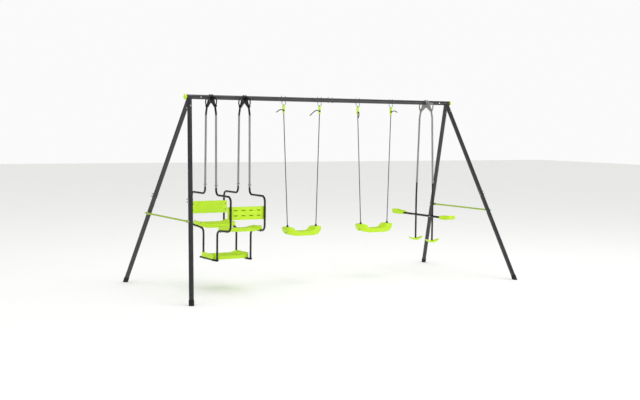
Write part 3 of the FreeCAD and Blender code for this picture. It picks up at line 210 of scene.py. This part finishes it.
def add(tree, kind, links=None, **settings):
    """Adds a node with its settings, its socket values and its links."""
    node = tree.nodes.new(kind)
    for name, value in settings.items():
        setattr(node, name, value)
    for name, value in (links or {}).items():
        if isinstance(value, bpy.types.NodeSocket):
            tree.links.new(value, node.inputs[name])
        else:
            node.inputs[name].default_value = value
    return node


def surface(name, **values):
    """A material with its shader's even values set, and the object's own coordinates."""
    material = bpy.data.materials.new(name)
    material.use_nodes = True
    tree = material.node_tree
    shader = tree.nodes["Principled BSDF"]
    for socket, value in values.items():
        shader.inputs[socket.replace("_", " ")].default_value = value
    place = add(tree, "ShaderNodeTexCoord").outputs["Object"]
    return material, tree, shader, place


def grain(tree, place, millimetres, detail=2.0, roughness=0.5):
    """Noise whose features are about that many millimetres across."""
    links = {"Vector": place, "Scale": 1 / (millimetres * MM), "Detail": detail, "Roughness": roughness}
    return add(tree, "ShaderNodeTexNoise", links).outputs["Fac"]


def spread(tree, value, low, high):
    """Maps the middle of a noise to a range."""
    links = {"Value": value, "From Min": 0.3, "From Max": 0.7, "To Min": low, "To Max": high}
    return add(tree, "ShaderNodeMapRange", links).outputs["Result"]


def two_tone(tree, shader, factor, first, second):
    """Two close colours, mixed by a pattern."""
    # a mixing node's colour sockets are its seventh and eighth, and its colour result the third
    mix = add(tree, "ShaderNodeMix", {"Factor": factor}, data_type="RGBA")
    mix.inputs[6].default_value = paint(first)
    mix.inputs[7].default_value = paint(second)
    tree.links.new(mix.outputs[2], shader.inputs["Base Color"])


def relief(tree, shader, height, depth, strength):
    """A surface texture, with its depth in millimetres."""
    links = {"Height": height, "Distance": depth * MM, "Strength": strength}
    bump = add(tree, "ShaderNodeBump", links).outputs["Normal"]
    tree.links.new(bump, shader.inputs["Normal"])


def powder_coat(name, first, second, roughness):
    """Polyester powder baked on steel tube: even colour, an orange-peel skin, a soft sharp gleam."""
    material, tree, shader, place = surface(name, IOR=1.5)
    # clouds of handling dust a hand wide, hardly lighter than the coat
    two_tone(tree, shader, spread(tree, grain(tree, place, 90, 4), 0, 1), first, second)
    # the peel is about 2 mm across and a few hundredths deep
    relief(tree, shader, grain(tree, place, 2.2), 0.05, 0.5)
    gloss = spread(tree, grain(tree, place, 35, 3), roughness - 0.04, roughness + 0.05)
    tree.links.new(gloss, shader.inputs["Roughness"])
    return material


def moulded_polypropylene(name, first, second):
    """Injection-moulded polypropylene: waxy, a little see-through at its skin, with a fine etched grain."""
    material, tree, shader, place = surface(name, IOR=1.49)
    shader.inputs["Subsurface Weight"].default_value = 0.12
    shader.inputs["Subsurface Radius"].default_value = (0.004, 0.005, 0.001)
    # flow marks several centimetres long, and pigment specks of a millimetre
    clouds = grain(tree, place, 60, 3, 0.6)
    specks = grain(tree, place, 1.3, 1)
    both_tones = add(tree, "ShaderNodeMath", {0: clouds, 1: specks}, operation="ADD").outputs[0]
    factor = add(tree, "ShaderNodeMapRange", {
        "Value": both_tones, "From Min": 0.75, "From Max": 1.25, "To Min": 0.0, "To Max": 1.0
    }).outputs["Result"]
    two_tone(tree, shader, factor, first, second)
    # the mould's etched grain is 0.6 mm, drawn at 1 mm so that it shows
    relief(tree, shader, grain(tree, place, 1.0), 0.06, 0.45)
    tree.links.new(spread(tree, grain(tree, place, 25, 3), 0.36, 0.5), shader.inputs["Roughness"])
    return material


def moulded_rubber(name):
    """Carbon-black rubber: matt, with scuffs where it meets the ground."""
    material, tree, shader, place = surface(name, IOR=1.52)
    scuffs = grain(tree, place, 7, 6, 0.7)
    two_tone(tree, shader, spread(tree, scuffs, 0, 0.7), "#0D0D0E", "#262626")
    relief(tree, shader, grain(tree, place, 1.6, 4), 0.12, 0.5)
    tree.links.new(spread(tree, scuffs, 0.6, 0.85), shader.inputs["Roughness"])
    return material


def plated_steel(name, first, second, roughness):
    """Zinc-plated bolt steel: bright, with the cloudy bloom of its passivation."""
    material, tree, shader, place = surface(name, Metallic=1.0)
    bloom = grain(tree, place, 5, 3, 0.6)
    two_tone(tree, shader, spread(tree, bloom, 0, 1), first, second)
    relief(tree, shader, grain(tree, place, 0.9), 0.02, 0.5)
    tree.links.new(spread(tree, bloom, roughness - 0.06, roughness + 0.1), shader.inputs["Roughness"])
    return material


def laid_polypropylene(name, first, second):
    """Spun polypropylene rope: matt strands of fine fibres, darker down between them."""
    material, tree, shader, place = surface(name, IOR=1.49)
    shader.inputs["Sheen Weight"].default_value = 0.25
    shader.inputs["Sheen Roughness"].default_value = 0.5
    # fibres are hair-fine, drawn 0.7 mm wide so that they show, and five times as long
    along = add(tree, "ShaderNodeMapping", {"Vector": place, "Scale": (1, 1, 0.2)}).outputs[0]
    fibres = grain(tree, along, 0.7, 3, 0.6)
    two_tone(tree, shader, spread(tree, fibres, 0, 1), first, second)
    relief(tree, shader, fibres, 0.25, 0.6)
    tree.links.new(spread(tree, fibres, 0.7, 0.9), shader.inputs["Roughness"])
    return material


def make_materials():
    """One material for each finish on the set."""
    return {
        "anthracite": powder_coat("anthracite_powder_coat", "#2E2E31", "#38383B", 0.3),
        "black": powder_coat("black_powder_coat", "#0E0E0F", "#171718", 0.36),
        # a lighter grey coat: the see-saw's brackets and heads wear it, and on the hangers' tubes it is a
        # painted highlight standing in for the gleam on the anthracite coat
        "grey_with_painted_gleam": powder_coat("grey_coat_with_painted_gleam", "#7F7F7E", "#8B8B89", 0.34),
        "green_coat": powder_coat("green_powder_coat", "#8FB010", "#9CBC1E", 0.36),
        "green": moulded_polypropylene("green_moulded_polypropylene", "#B4DC08", "#C2EA10"),
        # a darker copy of the green plastic, put on the backrest slots' floors as painted shade
        "painted_shade_green": moulded_polypropylene("painted_shade_moulded_polypropylene", "#5C7404", "#6C8608"),
        "rubber": moulded_rubber("black_moulded_rubber"),
        "zinc": plated_steel("zinc_plated_steel", "#B9BCBE", "#D2D4D4", 0.3),
        "black_bolts": plated_steel("black_passivated_steel", "#26272A", "#38393B", 0.36),
        "rope": laid_polypropylene("grey_laid_polypropylene", "#4E4E4B", "#6B6B67"),
        "knots": laid_polypropylene("dark_laid_polypropylene", "#161616", "#2B2B2A"),
    }


def finish_of(node):
    """Which finish a CAD node has, from its name."""
    if node.startswith(("glider_bracket", "glider_front_hanger_heads", "glider_back_hanger_heads")):
        return "black"
    if node.startswith(("seesaw_bracket", "seesaw_back_head", "seesaw_front_head")):
        return "grey_with_painted_gleam"
    if node.endswith("_bolts"):
        dark = node.startswith(("glider", "footrest"))
        return "black_bolts" if dark else "zinc"
    # the hangers' tubes are the anthracite coat, painted lighter grey as a painted highlight
    if node.endswith(("hanger_tubes", "_tube")):
        return "grey_with_painted_gleam"
    if node.startswith("cross_brace"):
        return "green_coat"
    if node == "foot_caps":
        return "rubber"
    if node == "bar_end_caps" or node.endswith("_hooks"):
        return "green"
    if node.endswith(("frames", "_rod", "_bars", "_beam")):
        return "black"
    if node.endswith(("seat", "backrest", "pan", "peg", "saddle_back", "saddle_front")):
        return "green"
    if "_rope_" in node:
        return "rope"
    return "anthracite"


def finish_cad_nodes(finishes):
    for name, node in NODES.items():
        node.data.materials.clear()
        node.data.materials.append(finishes[finish_of(name)])


# ---- ropes ----


def rope_line(points):
    """Points along the smooth line that a rope follows through its route."""
    curve = bpy.data.curves.new("route", "CURVE")
    curve.dimensions = "3D"
    curve.resolution_u = 20
    run = curve.splines.new("NURBS")
    run.points.add(len(points) - 1)
    for knot, point in zip(run.points, points):
        knot.co = (*point, 1)
    run.order_u = 3
    run.use_endpoint_u = True
    holder = bpy.data.objects.new("route", curve)
    mesh = bpy.data.meshes.new_from_object(holder)
    line = [point.co.copy() for point in mesh.vertices]
    bpy.data.objects.remove(holder)
    bpy.data.curves.remove(curve)
    bpy.data.meshes.remove(mesh)
    return line


def evenly(line, step):
    """The same line with its points a step apart."""
    lengths = [0.0]
    for before, after in zip(line, line[1:]):
        lengths.append(lengths[-1] + (after - before).length)
    count = max(4, round(lengths[-1] / step))
    found = []
    span = 0
    for i in range(count + 1):
        wanted = lengths[-1] * i / count
        while span < len(line) - 2 and lengths[span + 1] < wanted:
            span += 1
        part = (wanted - lengths[span]) / max(lengths[span + 1] - lengths[span], 1e-9)
        found.append(line[span].lerp(line[span + 1], part))
    return found


def strand_radius(angle, radius):
    """The outline of three strands laid together: three lobes round the rope's middle."""
    # three equal circles that touch each other and fill a circle have this share of its radius
    strand = radius * 0.464
    offset = radius - strand
    turn = (angle + math.pi / 3) % (2 * math.pi / 3) - math.pi / 3
    return offset * math.cos(turn) + math.sqrt(max(strand ** 2 - (offset * math.sin(turn)) ** 2, 0))


def laid_rope(name, line, diameter, lay, tip=False):
    """A three-strand rope along a line: its lobed section turns once in each lay."""
    around = 24
    step = 2.2 * MM
    line = evenly(line, step)
    points = []
    faces = []
    ahead = (line[1] - line[0]).normalized()
    across = ahead.orthogonal().normalized()
    last = len(line) - 1
    for i, centre in enumerate(line):
        ahead = (line[min(i + 1, last)] - line[max(i - 1, 0)]).normalized()
        across = (across - ahead * across.dot(ahead)).normalized()
        other = ahead.cross(across)
        twist = 2 * math.pi * i * step / lay
        ends = min(i, last - i) if tip else last
        pinch = min(1.0, 0.72 + 0.14 * ends)
        for k in range(around):
            angle = 2 * math.pi * k / around
            reach = strand_radius(angle - twist, diameter / 2) * pinch
            points.append(centre + (across * math.cos(angle) + other * math.sin(angle)) * reach)
    for i in range(last):
        for k in range(around):
            a = i * around + k
            b = i * around + (k + 1) % around
            faces.append((a, b, b + around, a + around))
    faces.append(tuple(range(around))[::-1])
    faces.append(tuple(last * around + k for k in range(around)))
    mesh = bpy.data.meshes.new(name)
    mesh.from_pydata([tuple(point) for point in points], [], faces)
    mesh.update()
    piece = bpy.data.objects.new(name, mesh)
    bpy.context.scene.collection.objects.link(piece)
    for face in mesh.polygons:
        face.use_smooth = len(face.vertices) == 4
    return piece, line


def make_knot(name, centre):
    """An overhand knot drawn tight: the rope follows a trefoil inside the knot's ball."""
    # the rope is squeezed inside the knot, and a trefoil reaches three times its scale
    thick = 0.42 * KNOT
    scale = (KNOT - thick) / 2 / 3 * MM
    steps = 96
    line = []
    for i in range(steps + 1):
        t = 2 * math.pi * i / steps
        wide = Vector((math.sin(t) + 2 * math.sin(2 * t), 0, math.cos(t) - 2 * math.cos(2 * t)))
        line.append(centre + wide * scale + Vector((0, -math.sin(3 * t) * scale * 1.6, 0)))
    return laid_rope(name, line, thick * MM, ROPE_LAY * 0.6 * MM)[0]


def make_collar(name, foot, lean):
    """The short tapered boot where a rope goes into the seat."""
    bpy.ops.object.select_all(action="DESELECT")
    bpy.ops.mesh.primitive_cylinder_add(vertices=32, radius=BOOT_RADIUS * MM, depth=BOOT_HEIGHT * MM)
    piece = bpy.context.object
    piece.name = piece.data.name = name
    narrow(piece, lambda p: p.z > 0, (0.52, 0.52, 1))
    only(piece)
    edge = piece.modifiers.new("Edge", "BEVEL")
    edge.width = 1.6 * MM
    edge.segments = 3
    bpy.ops.object.modifier_apply(modifier=edge.name)
    bpy.ops.object.shade_smooth_by_angle(angle=math.radians(50))
    piece.location = foot + Vector((0, 0, BOOT_LIFT * MM))
    piece.rotation_euler = (0, lean, 0)
    bpy.ops.object.transform_apply(location=True, rotation=True, scale=True)
    return piece


def make_ropes(finishes):
    """Four ropes, each taut from hook to seat, knotted in front of its hook, with a free end."""
    for node, points in FREE_ENDS.items():
        which, side = node.split("_")[0], node.split("_")[-1]
        body = f"{which}_swing"
        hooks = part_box(f"{body}_hooks")
        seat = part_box(f"{body}_seat")
        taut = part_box(node)
        sign = -1 if side == "left" else 1
        hook_x = (hooks[0].x + hooks[1].x) / 2 + sign * HOOK_REACH * MM
        seat_x = (seat[0].x + seat[1].x) / 2 + sign * SOCKET_REACH * MM
        top = Vector((hook_x, 0, hooks[0].z + HOOK_RING * MM))
        foot = Vector((seat_x, 0, taut[0].z))
        run = rope_line([top, top.lerp(foot, 0.5), foot])
        rope, path = laid_rope(f"{node}_taut", run, ROPE * MM, ROPE_LAY * MM)
        route = [Vector((hook_x + x * MM, y * MM, z * MM)) for x, y, z in points]
        knot = make_knot(f"{node}_knot", route[0])
        end, end_path = laid_rope(f"{node}_end", rope_line(route), ROPE * MM, ROPE_LAY * MM, tip=True)
        at_seat = path[-1].lerp(path[0], (seat[1].z - foot.z) / (top.z - foot.z))
        lean = math.atan2(top.x - foot.x, top.z - foot.z)
        collar = make_collar(f"{node}_boot", at_seat, lean)
        for piece, finish in ((rope, "rope"), (knot, "knots"), (end, "knots"), (collar, "rubber")):
            fit(piece, finishes[finish], body, node)


# ---- mouldings ----


def make_swing_seat(which, finishes):
    """A belt seat: a flat middle that curves up into a lobe at each end."""
    node = f"{which}_swing_seat"
    low, high = (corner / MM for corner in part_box(node))
    half = (high.x - low.x) / 2
    tall = high.z - low.z
    deep = high.y - low.y
    # along the seat: place at the top and underneath, height of the top and of the underside
    stations = [
        (0, 0, 41, 0), (45, 45, 41, 0), (80, 80, 43, 0), (98, 97, 52, 1), (111, 109, 68, 3),
        (122, 120, 81, 5), (138, 132, 85, 7), (168, 149, 85, 11),
    ]
    # the lobe's outer end, from underneath to the top; a slot lies between its second and third
    end = [
        (half - 38, 13), (half - 28, 24.6), (half - 16, 36.6), (half - 5, 52), (half, 74),
        (half - 2, tall),
    ]
    levels = [-30, -12, 8, 26]
    y_loops = both(33, deep / 2 - 11, deep / 2 - 3)
    x_loops = [0] + both(*[top_x for top_x, *_ in stations[1:]])
    seat = block(node + "_moulding", (2 * half, deep, tall), (x_loops, y_loops, levels))
    rows = [-tall / 2] + levels + [tall / 2]
    for side in (-1, 1):
        for top_x, low_x, top, under in stations[0 if side > 0 else 1:]:
            for row, level in enumerate(rows):
                part = row / (len(rows) - 1)
                x = low_x + (top_x - low_x) * part
                z = under + (top - under) * part - tall / 2
                move = (side * (x - top_x), 0, z - level)
                shift(seat, lambda p: near(p.x, side * top_x) and near(p.z, level), move)
        for (x, z), level in zip(end, rows):
            move = (side * (x - half), 0, z - tall / 2 - level)
            shift(seat, lambda p: near(p.x, side * half) and near(p.z, level), move)
    # each lobe draws in a little towards its outer end
    narrow(seat, lambda p: abs(p.x) > half - 65 and p.z > 0, (1, 0.97, 1))
    narrow(seat, lambda p: abs(p.x) > half - 18 and p.z > 4, (1, 0.78, 1))
    narrow(seat, lambda p: abs(p.x) > half - 42 and p.z < 4, (1, 0.88, 1))
    # the slanted face under each lobe, with a slot in it whose floor is painted with the black rubber
    # finish as painted shade
    flank = lambda p, n: abs(n.x) > 0.5 and n.z < -0.3 and abs(p.y) < 20 and -22 < p.z < -8
    for side in (-1, 1):
        into = (-side * 15, 0, 12)
        on_side = lambda p, n: flank(p, n) and p.x * side > 0
        # the black rubber on each slot's floor is painted shade
        sink(seat, on_side, rim=1.6, by=into, shade=finishes["rubber"])
    # pockets under the belt, with ribs between them
    under = lambda p, n: n.z < -0.8 and abs(p.x) < 90 and abs(p.y) < 20
    sink(seat, under, rim=3.5, by=(0, 0, 14))
    soften(seat)
    put(seat, Vector(((low.x + high.x) / 2, 0, (low.z + high.z) / 2)) * MM)
    fit(seat, finishes["green"], f"{which}_swing", node)


def tread_cage(name, half, deep, drop, rise):
    """A tread: both ends lie on the rails, and the middle hangs lower between them."""
    base = TUBE_RADIUS
    thick = TREAD_THICKNESS
    inside = half - 17
    x_loops = [0] + both(42, 82, inside - 50, inside - 30, inside - 8, inside + 4, half - 4)
    y_loops = both(28, deep / 2 - 24, deep / 2 - 9, deep / 2 - 2.5)
    tread = block(name, (2 * half, deep, rise), (x_loops, y_loops, both(rise / 2 - 4)))
    lift = base + rise / 2
    shift(tread, lambda p: True, (0, 0, lift))
    hang = base - drop
    upper = lambda p: p.z > lift
    for side in (-1, 1):
        for place, top, under in (
            (inside - 8, base + rise - 4, base - 3),
            (inside - 30, hang + thick + 8, hang + 2),
            (inside - 50, hang + thick + 1, hang),
            (82, hang + thick, hang),
            (42, hang + thick, hang),
        ):
            spot = side * place
            shift(tread, lambda p: near(p.x, spot) and upper(p), (0, 0, top - base - rise))
            shift(tread, lambda p: near(p.x, spot) and not upper(p), (0, 0, under - base))
    shift(tread, lambda p: near(p.x, 0) and upper(p), (0, 0, hang + thick - base - rise))
    shift(tread, lambda p: near(p.x, 0) and not upper(p), (0, 0, hang - base))
    # rounded corners in plan, and a brow that rolls down at the front and the back
    narrow(tread, lambda p: abs(p.x) > half - 2, (1, 0.93, 1))
    edge = deep / 2 - 1
    shift(tread, lambda p: abs(p.y) > edge and p.z > hang + thick - 6, (0, 0, -3))
    return tread, hang


def finish_tread(tread, hang, half):
    """Hollows the underside, which leaves ribs between its pockets."""
    under = lambda p, n: n.z < -0.8 and p.z < hang + 5 and abs(p.x) < half - 60 and abs(p.y) < 90
    sink(tread, under, rim=2.5, by=(0, 0, 17))
    soften(tread)


def make_glider_seat(end, finishes):
    """A seat of the face-to-face glider, which slopes up a little towards its backrest."""
    which = "back" if end > 0 else "front"
    node = f"glider_{which}_seat"
    low, high = (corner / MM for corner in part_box(node))
    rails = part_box(f"glider_{which}_frames")
    half = (high.x - low.x) / 2
    slope = math.atan2(RAIL_CLIMB, RAIL_RUN)
    seat, hang = tread_cage(node + "_moulding", half, SEAT_DEPTH, SEAT_DROP, SEAT_RISE)
    finish_tread(seat, hang, half)
    middle = (rails[0].x + rails[1].x) / 2 / MM
    height = RAIL_HEIGHT + (SEAT_REACH - RAIL_REACH) * math.tan(slope)
    put(seat, Vector((middle, end * SEAT_REACH, height)) * MM, end * slope)
    fit(seat, finishes["green"], f"glider_{which}_seat", node)


def make_footrest(finishes):
    """The tread that the four feet of the glider's frames share."""
    node = "footrest_pan"
    low, high = (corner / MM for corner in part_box(node))
    half = (high.x - low.x) / 2
    rest, hang = tread_cage(node + "_moulding", half, high.y - low.y, FOOTREST_DROP, FOOTREST_RISE)
    finish_tread(rest, hang, half)
    put(rest, Vector(((low.x + high.x) / 2, 0, low.z + FOOTREST_DROP - TUBE_RADIUS)) * MM)
    fit(rest, finishes["green"], "glider_footrest", node)


def make_backrest(end, finishes):
    """A back board with two rows of four slots moulded into its outer face."""
    which = "back" if end > 0 else "front"
    node = f"glider_{which}_backrest"
    low, high = (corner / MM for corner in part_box(node))
    size = high - low
    half = size.x / 2
    # four slots in a row, each a sixth of the board long, and the two rows' heights
    columns = [(column - 1.5) * 0.41 * half for column in range(4)]
    slot_half = 0.155 * half
    slot_rise = 7
    heights = [(share - 0.5) * size.z for share in (0.32, 0.72)]
    x_loops = both(half - 2.5, half - 9) + [c + s * slot_half for c in columns for s in (-1, 1)]
    z_loops = both(size.z / 2 - 2.5, size.z / 2 - 9) + [h + s * slot_rise for h in heights for s in (-1, 1)]
    board = block(node + "_moulding", size, (x_loops, both(size.y / 2 - 2.5), z_loops))
    in_row = lambda p: any(near(p.z, height) for height in heights)
    in_column = lambda p: any(near(p.x, column) for column in columns)
    slot = lambda p, n: n.y * end > 0.9 and in_row(p) and in_column(p)
    # the slots' floors take the darker green: painted shade inside the recesses
    sink(board, slot, rim=1.2, by=(0, -end * 9, 0), shade=finishes["painted_shade_green"])
    soften(board)
    put(board, (low + high) / 2 * MM)
    fit(board, finishes["green"], f"glider_{which}_seat", node)


def make_saddle(end, finishes):
    """A see-saw seat on the beam's end: a flat paddle whose outer end turns up."""
    which = "back" if end > 0 else "front"
    node = f"seesaw_saddle_{which}"
    low, high = (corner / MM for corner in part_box(node))
    size = high - low
    half = size.y / 2
    loops = both(half - 2.5, half - 10, half - 30, half - 52) + [0, 20]
    across = both(16, size.x / 2 - 10, size.x / 2 - 2.5)
    saddle = block(node + "_moulding", size, (across, loops, both(size.z / 2 - 3)))
    upper = lambda p: p.z > 0
    # along the saddle, outwards: how far the top and the underside move from the box
    profile = [
        (-half, -19, 6), (2.5 - half, -15.5, 3), (10 - half, -13.5, 0), (30 - half, -13, 0),
        (52 - half, -13, 0), (0, -13, 0), (20, -12.5, 0), (half - 52, -10, 0.5), (half - 30, -5.5, 4),
        (half - 10, -1.5, 13), (half - 2.5, -1, 18), (half, -5, 22),
    ]
    for reach, top, under in profile:
        shift(saddle, lambda p: near(p.y, reach) and upper(p), (0, 0, top))
        shift(saddle, lambda p: near(p.y, reach) and not upper(p), (0, 0, under))
    narrow(saddle, lambda p: p.y > half - 6, (0.8, 1, 1))
    narrow(saddle, lambda p: p.y < 6 - half, (0.72, 1, 1))
    narrow(saddle, lambda p: 6 - half < p.y < 20 - half, (0.86, 1, 1))
    soften(saddle)
    if end < 0:
        only(saddle)
        saddle.rotation_euler = (0, 0, math.pi)
        bpy.ops.object.transform_apply(location=False, rotation=True, scale=False)
    put(saddle, (low + high) / 2 * MM)
    fit(saddle, finishes["green"], "seesaw_rocker", node)


def make_peg(end, finishes):
    """A foot peg: two wings that sweep up from the rod's end to thin tips."""
    which = "back" if end > 0 else "front"
    node = f"seesaw_{which}_peg"
    low, high = (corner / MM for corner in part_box(node))
    size = high - low
    half = size.x / 2
    x_loops = [0] + both(14, 24, 44, 62, half - 8, half - 2)
    y_loops = both(size.y / 2 - 8, size.y / 2 - 2)
    peg = block(node + "_moulding", size, (x_loops, y_loops, both(size.z / 2 - 3)))
    upper = lambda p: p.z > 0
    # outwards along each wing: how far the top and the underside move from the box
    profile = [
        (0, -17, 0), (14, -17, 0.5), (24, -16, 2), (44, -11.5, 10), (62, -6.5, 18),
        (half - 8, -1.5, 27), (half - 2, 0, 29.5), (half, -1, 31),
    ]
    for reach, top, under in profile:
        shift(peg, lambda p: near(abs(p.x), reach) and upper(p), (0, 0, top))
        shift(peg, lambda p: near(abs(p.x), reach) and not upper(p), (0, 0, under))
    narrow(peg, lambda p: abs(p.x) > half - 10, (1, 0.72, 1))
    narrow(peg, lambda p: 50 < abs(p.x) <= half - 10, (1, 0.9, 1))
    soften(peg)
    put(peg, (low + high) / 2 * MM)
    fit(peg, finishes["green"], f"seesaw_{which}_hanger", node)


# ---- studio ----


def make_camera():
    """The eye stands off the set's left front, a little under the bar, and looks along it."""
    lens = bpy.data.cameras.new("camera")
    lens.sensor_width = 36
    lens.lens = 61.27
    lens.clip_end = 200
    camera = bpy.data.objects.new("camera", lens)
    bpy.context.scene.collection.objects.link(camera)
    turn, dip, roll = (math.radians(angle) for angle in (30.806, 3.959, 0.703))
    # the eye's place in metres, then its turns about the upright, the side and the view
    camera.matrix_world = (
        Matrix.Translation((-5.5323, -9.1725, 1.5416))
        @ Matrix.Rotation(-turn, 4, "Z")
        @ Matrix.Rotation(math.pi / 2 - dip, 4, "X")
        @ Matrix.Rotation(roll, 4, "Z")
    )
    bpy.context.scene.camera = camera


def make_floor():
    """A pale floor just under the feet."""
    bpy.ops.object.select_all(action="DESELECT")
    bpy.ops.mesh.primitive_plane_add(size=60, location=(0, 0, -0.0005))
    floor = bpy.context.object
    floor.name = "floor"
    material, tree, shader, place = surface("pale_studio_floor", Roughness=0.9)
    two_tone(tree, shader, grain(tree, place, 900), "#F2F2F0", "#F5F5F4")
    floor.data.materials.append(material)


def make_lights():
    """A white room that lights little by itself, and soft boxes that draw a gleam down each tube."""
    # the plain curve keeps the plastic's lime green as strong as it is
    bpy.context.scene.view_settings.view_transform = "Standard"
    world = bpy.data.worlds.new("white_room")
    bpy.context.scene.world = world
    world.use_nodes = True
    tree = world.node_tree
    sky = tree.nodes["Background"]
    sky.inputs["Color"].default_value = (1, 1, 1, 1)
    gleam = add(tree, "ShaderNodeLightPath").outputs["Is Glossy Ray"]
    level = add(tree, "ShaderNodeMapRange", {"Value": gleam, "To Min": 0.96, "To Max": 0.16})
    tree.links.new(level.outputs["Result"], sky.inputs["Strength"])
    boxes = (
        ("top_box", (1.0, -1.0, 7.0), 5.0, 130),
        ("front_box", (6.5, -9.0, 2.6), 4.5, 190),
        ("left_box", (-9.5, -4.0, 2.2), 2.4, 90),
    )
    for name, spot, size, power in boxes:
        light = bpy.data.lights.new(name, "AREA")
        light.size = size
        light.energy = power
        lamp = bpy.data.objects.new(name, light)
        lamp.location = spot
        aim = Vector((0, 0, 0.9)) - Vector(spot)
        lamp.rotation_euler = aim.to_track_quat("-Z", "Y").to_euler()
        bpy.context.scene.collection.objects.link(lamp)


def make_set():
    """Finishes the frame's own nodes, and makes each rope and moulding."""
    finishes = make_materials()
    finish_cad_nodes(finishes)
    make_ropes(finishes)
    for which in ("left", "right"):
        make_swing_seat(which, finishes)
    for end in (-1, 1):
        make_glider_seat(end, finishes)
        make_backrest(end, finishes)
        make_saddle(end, finishes)
        make_peg(end, finishes)
    make_footrest(finishes)


make_camera()
make_set()
make_floor()
make_lights()
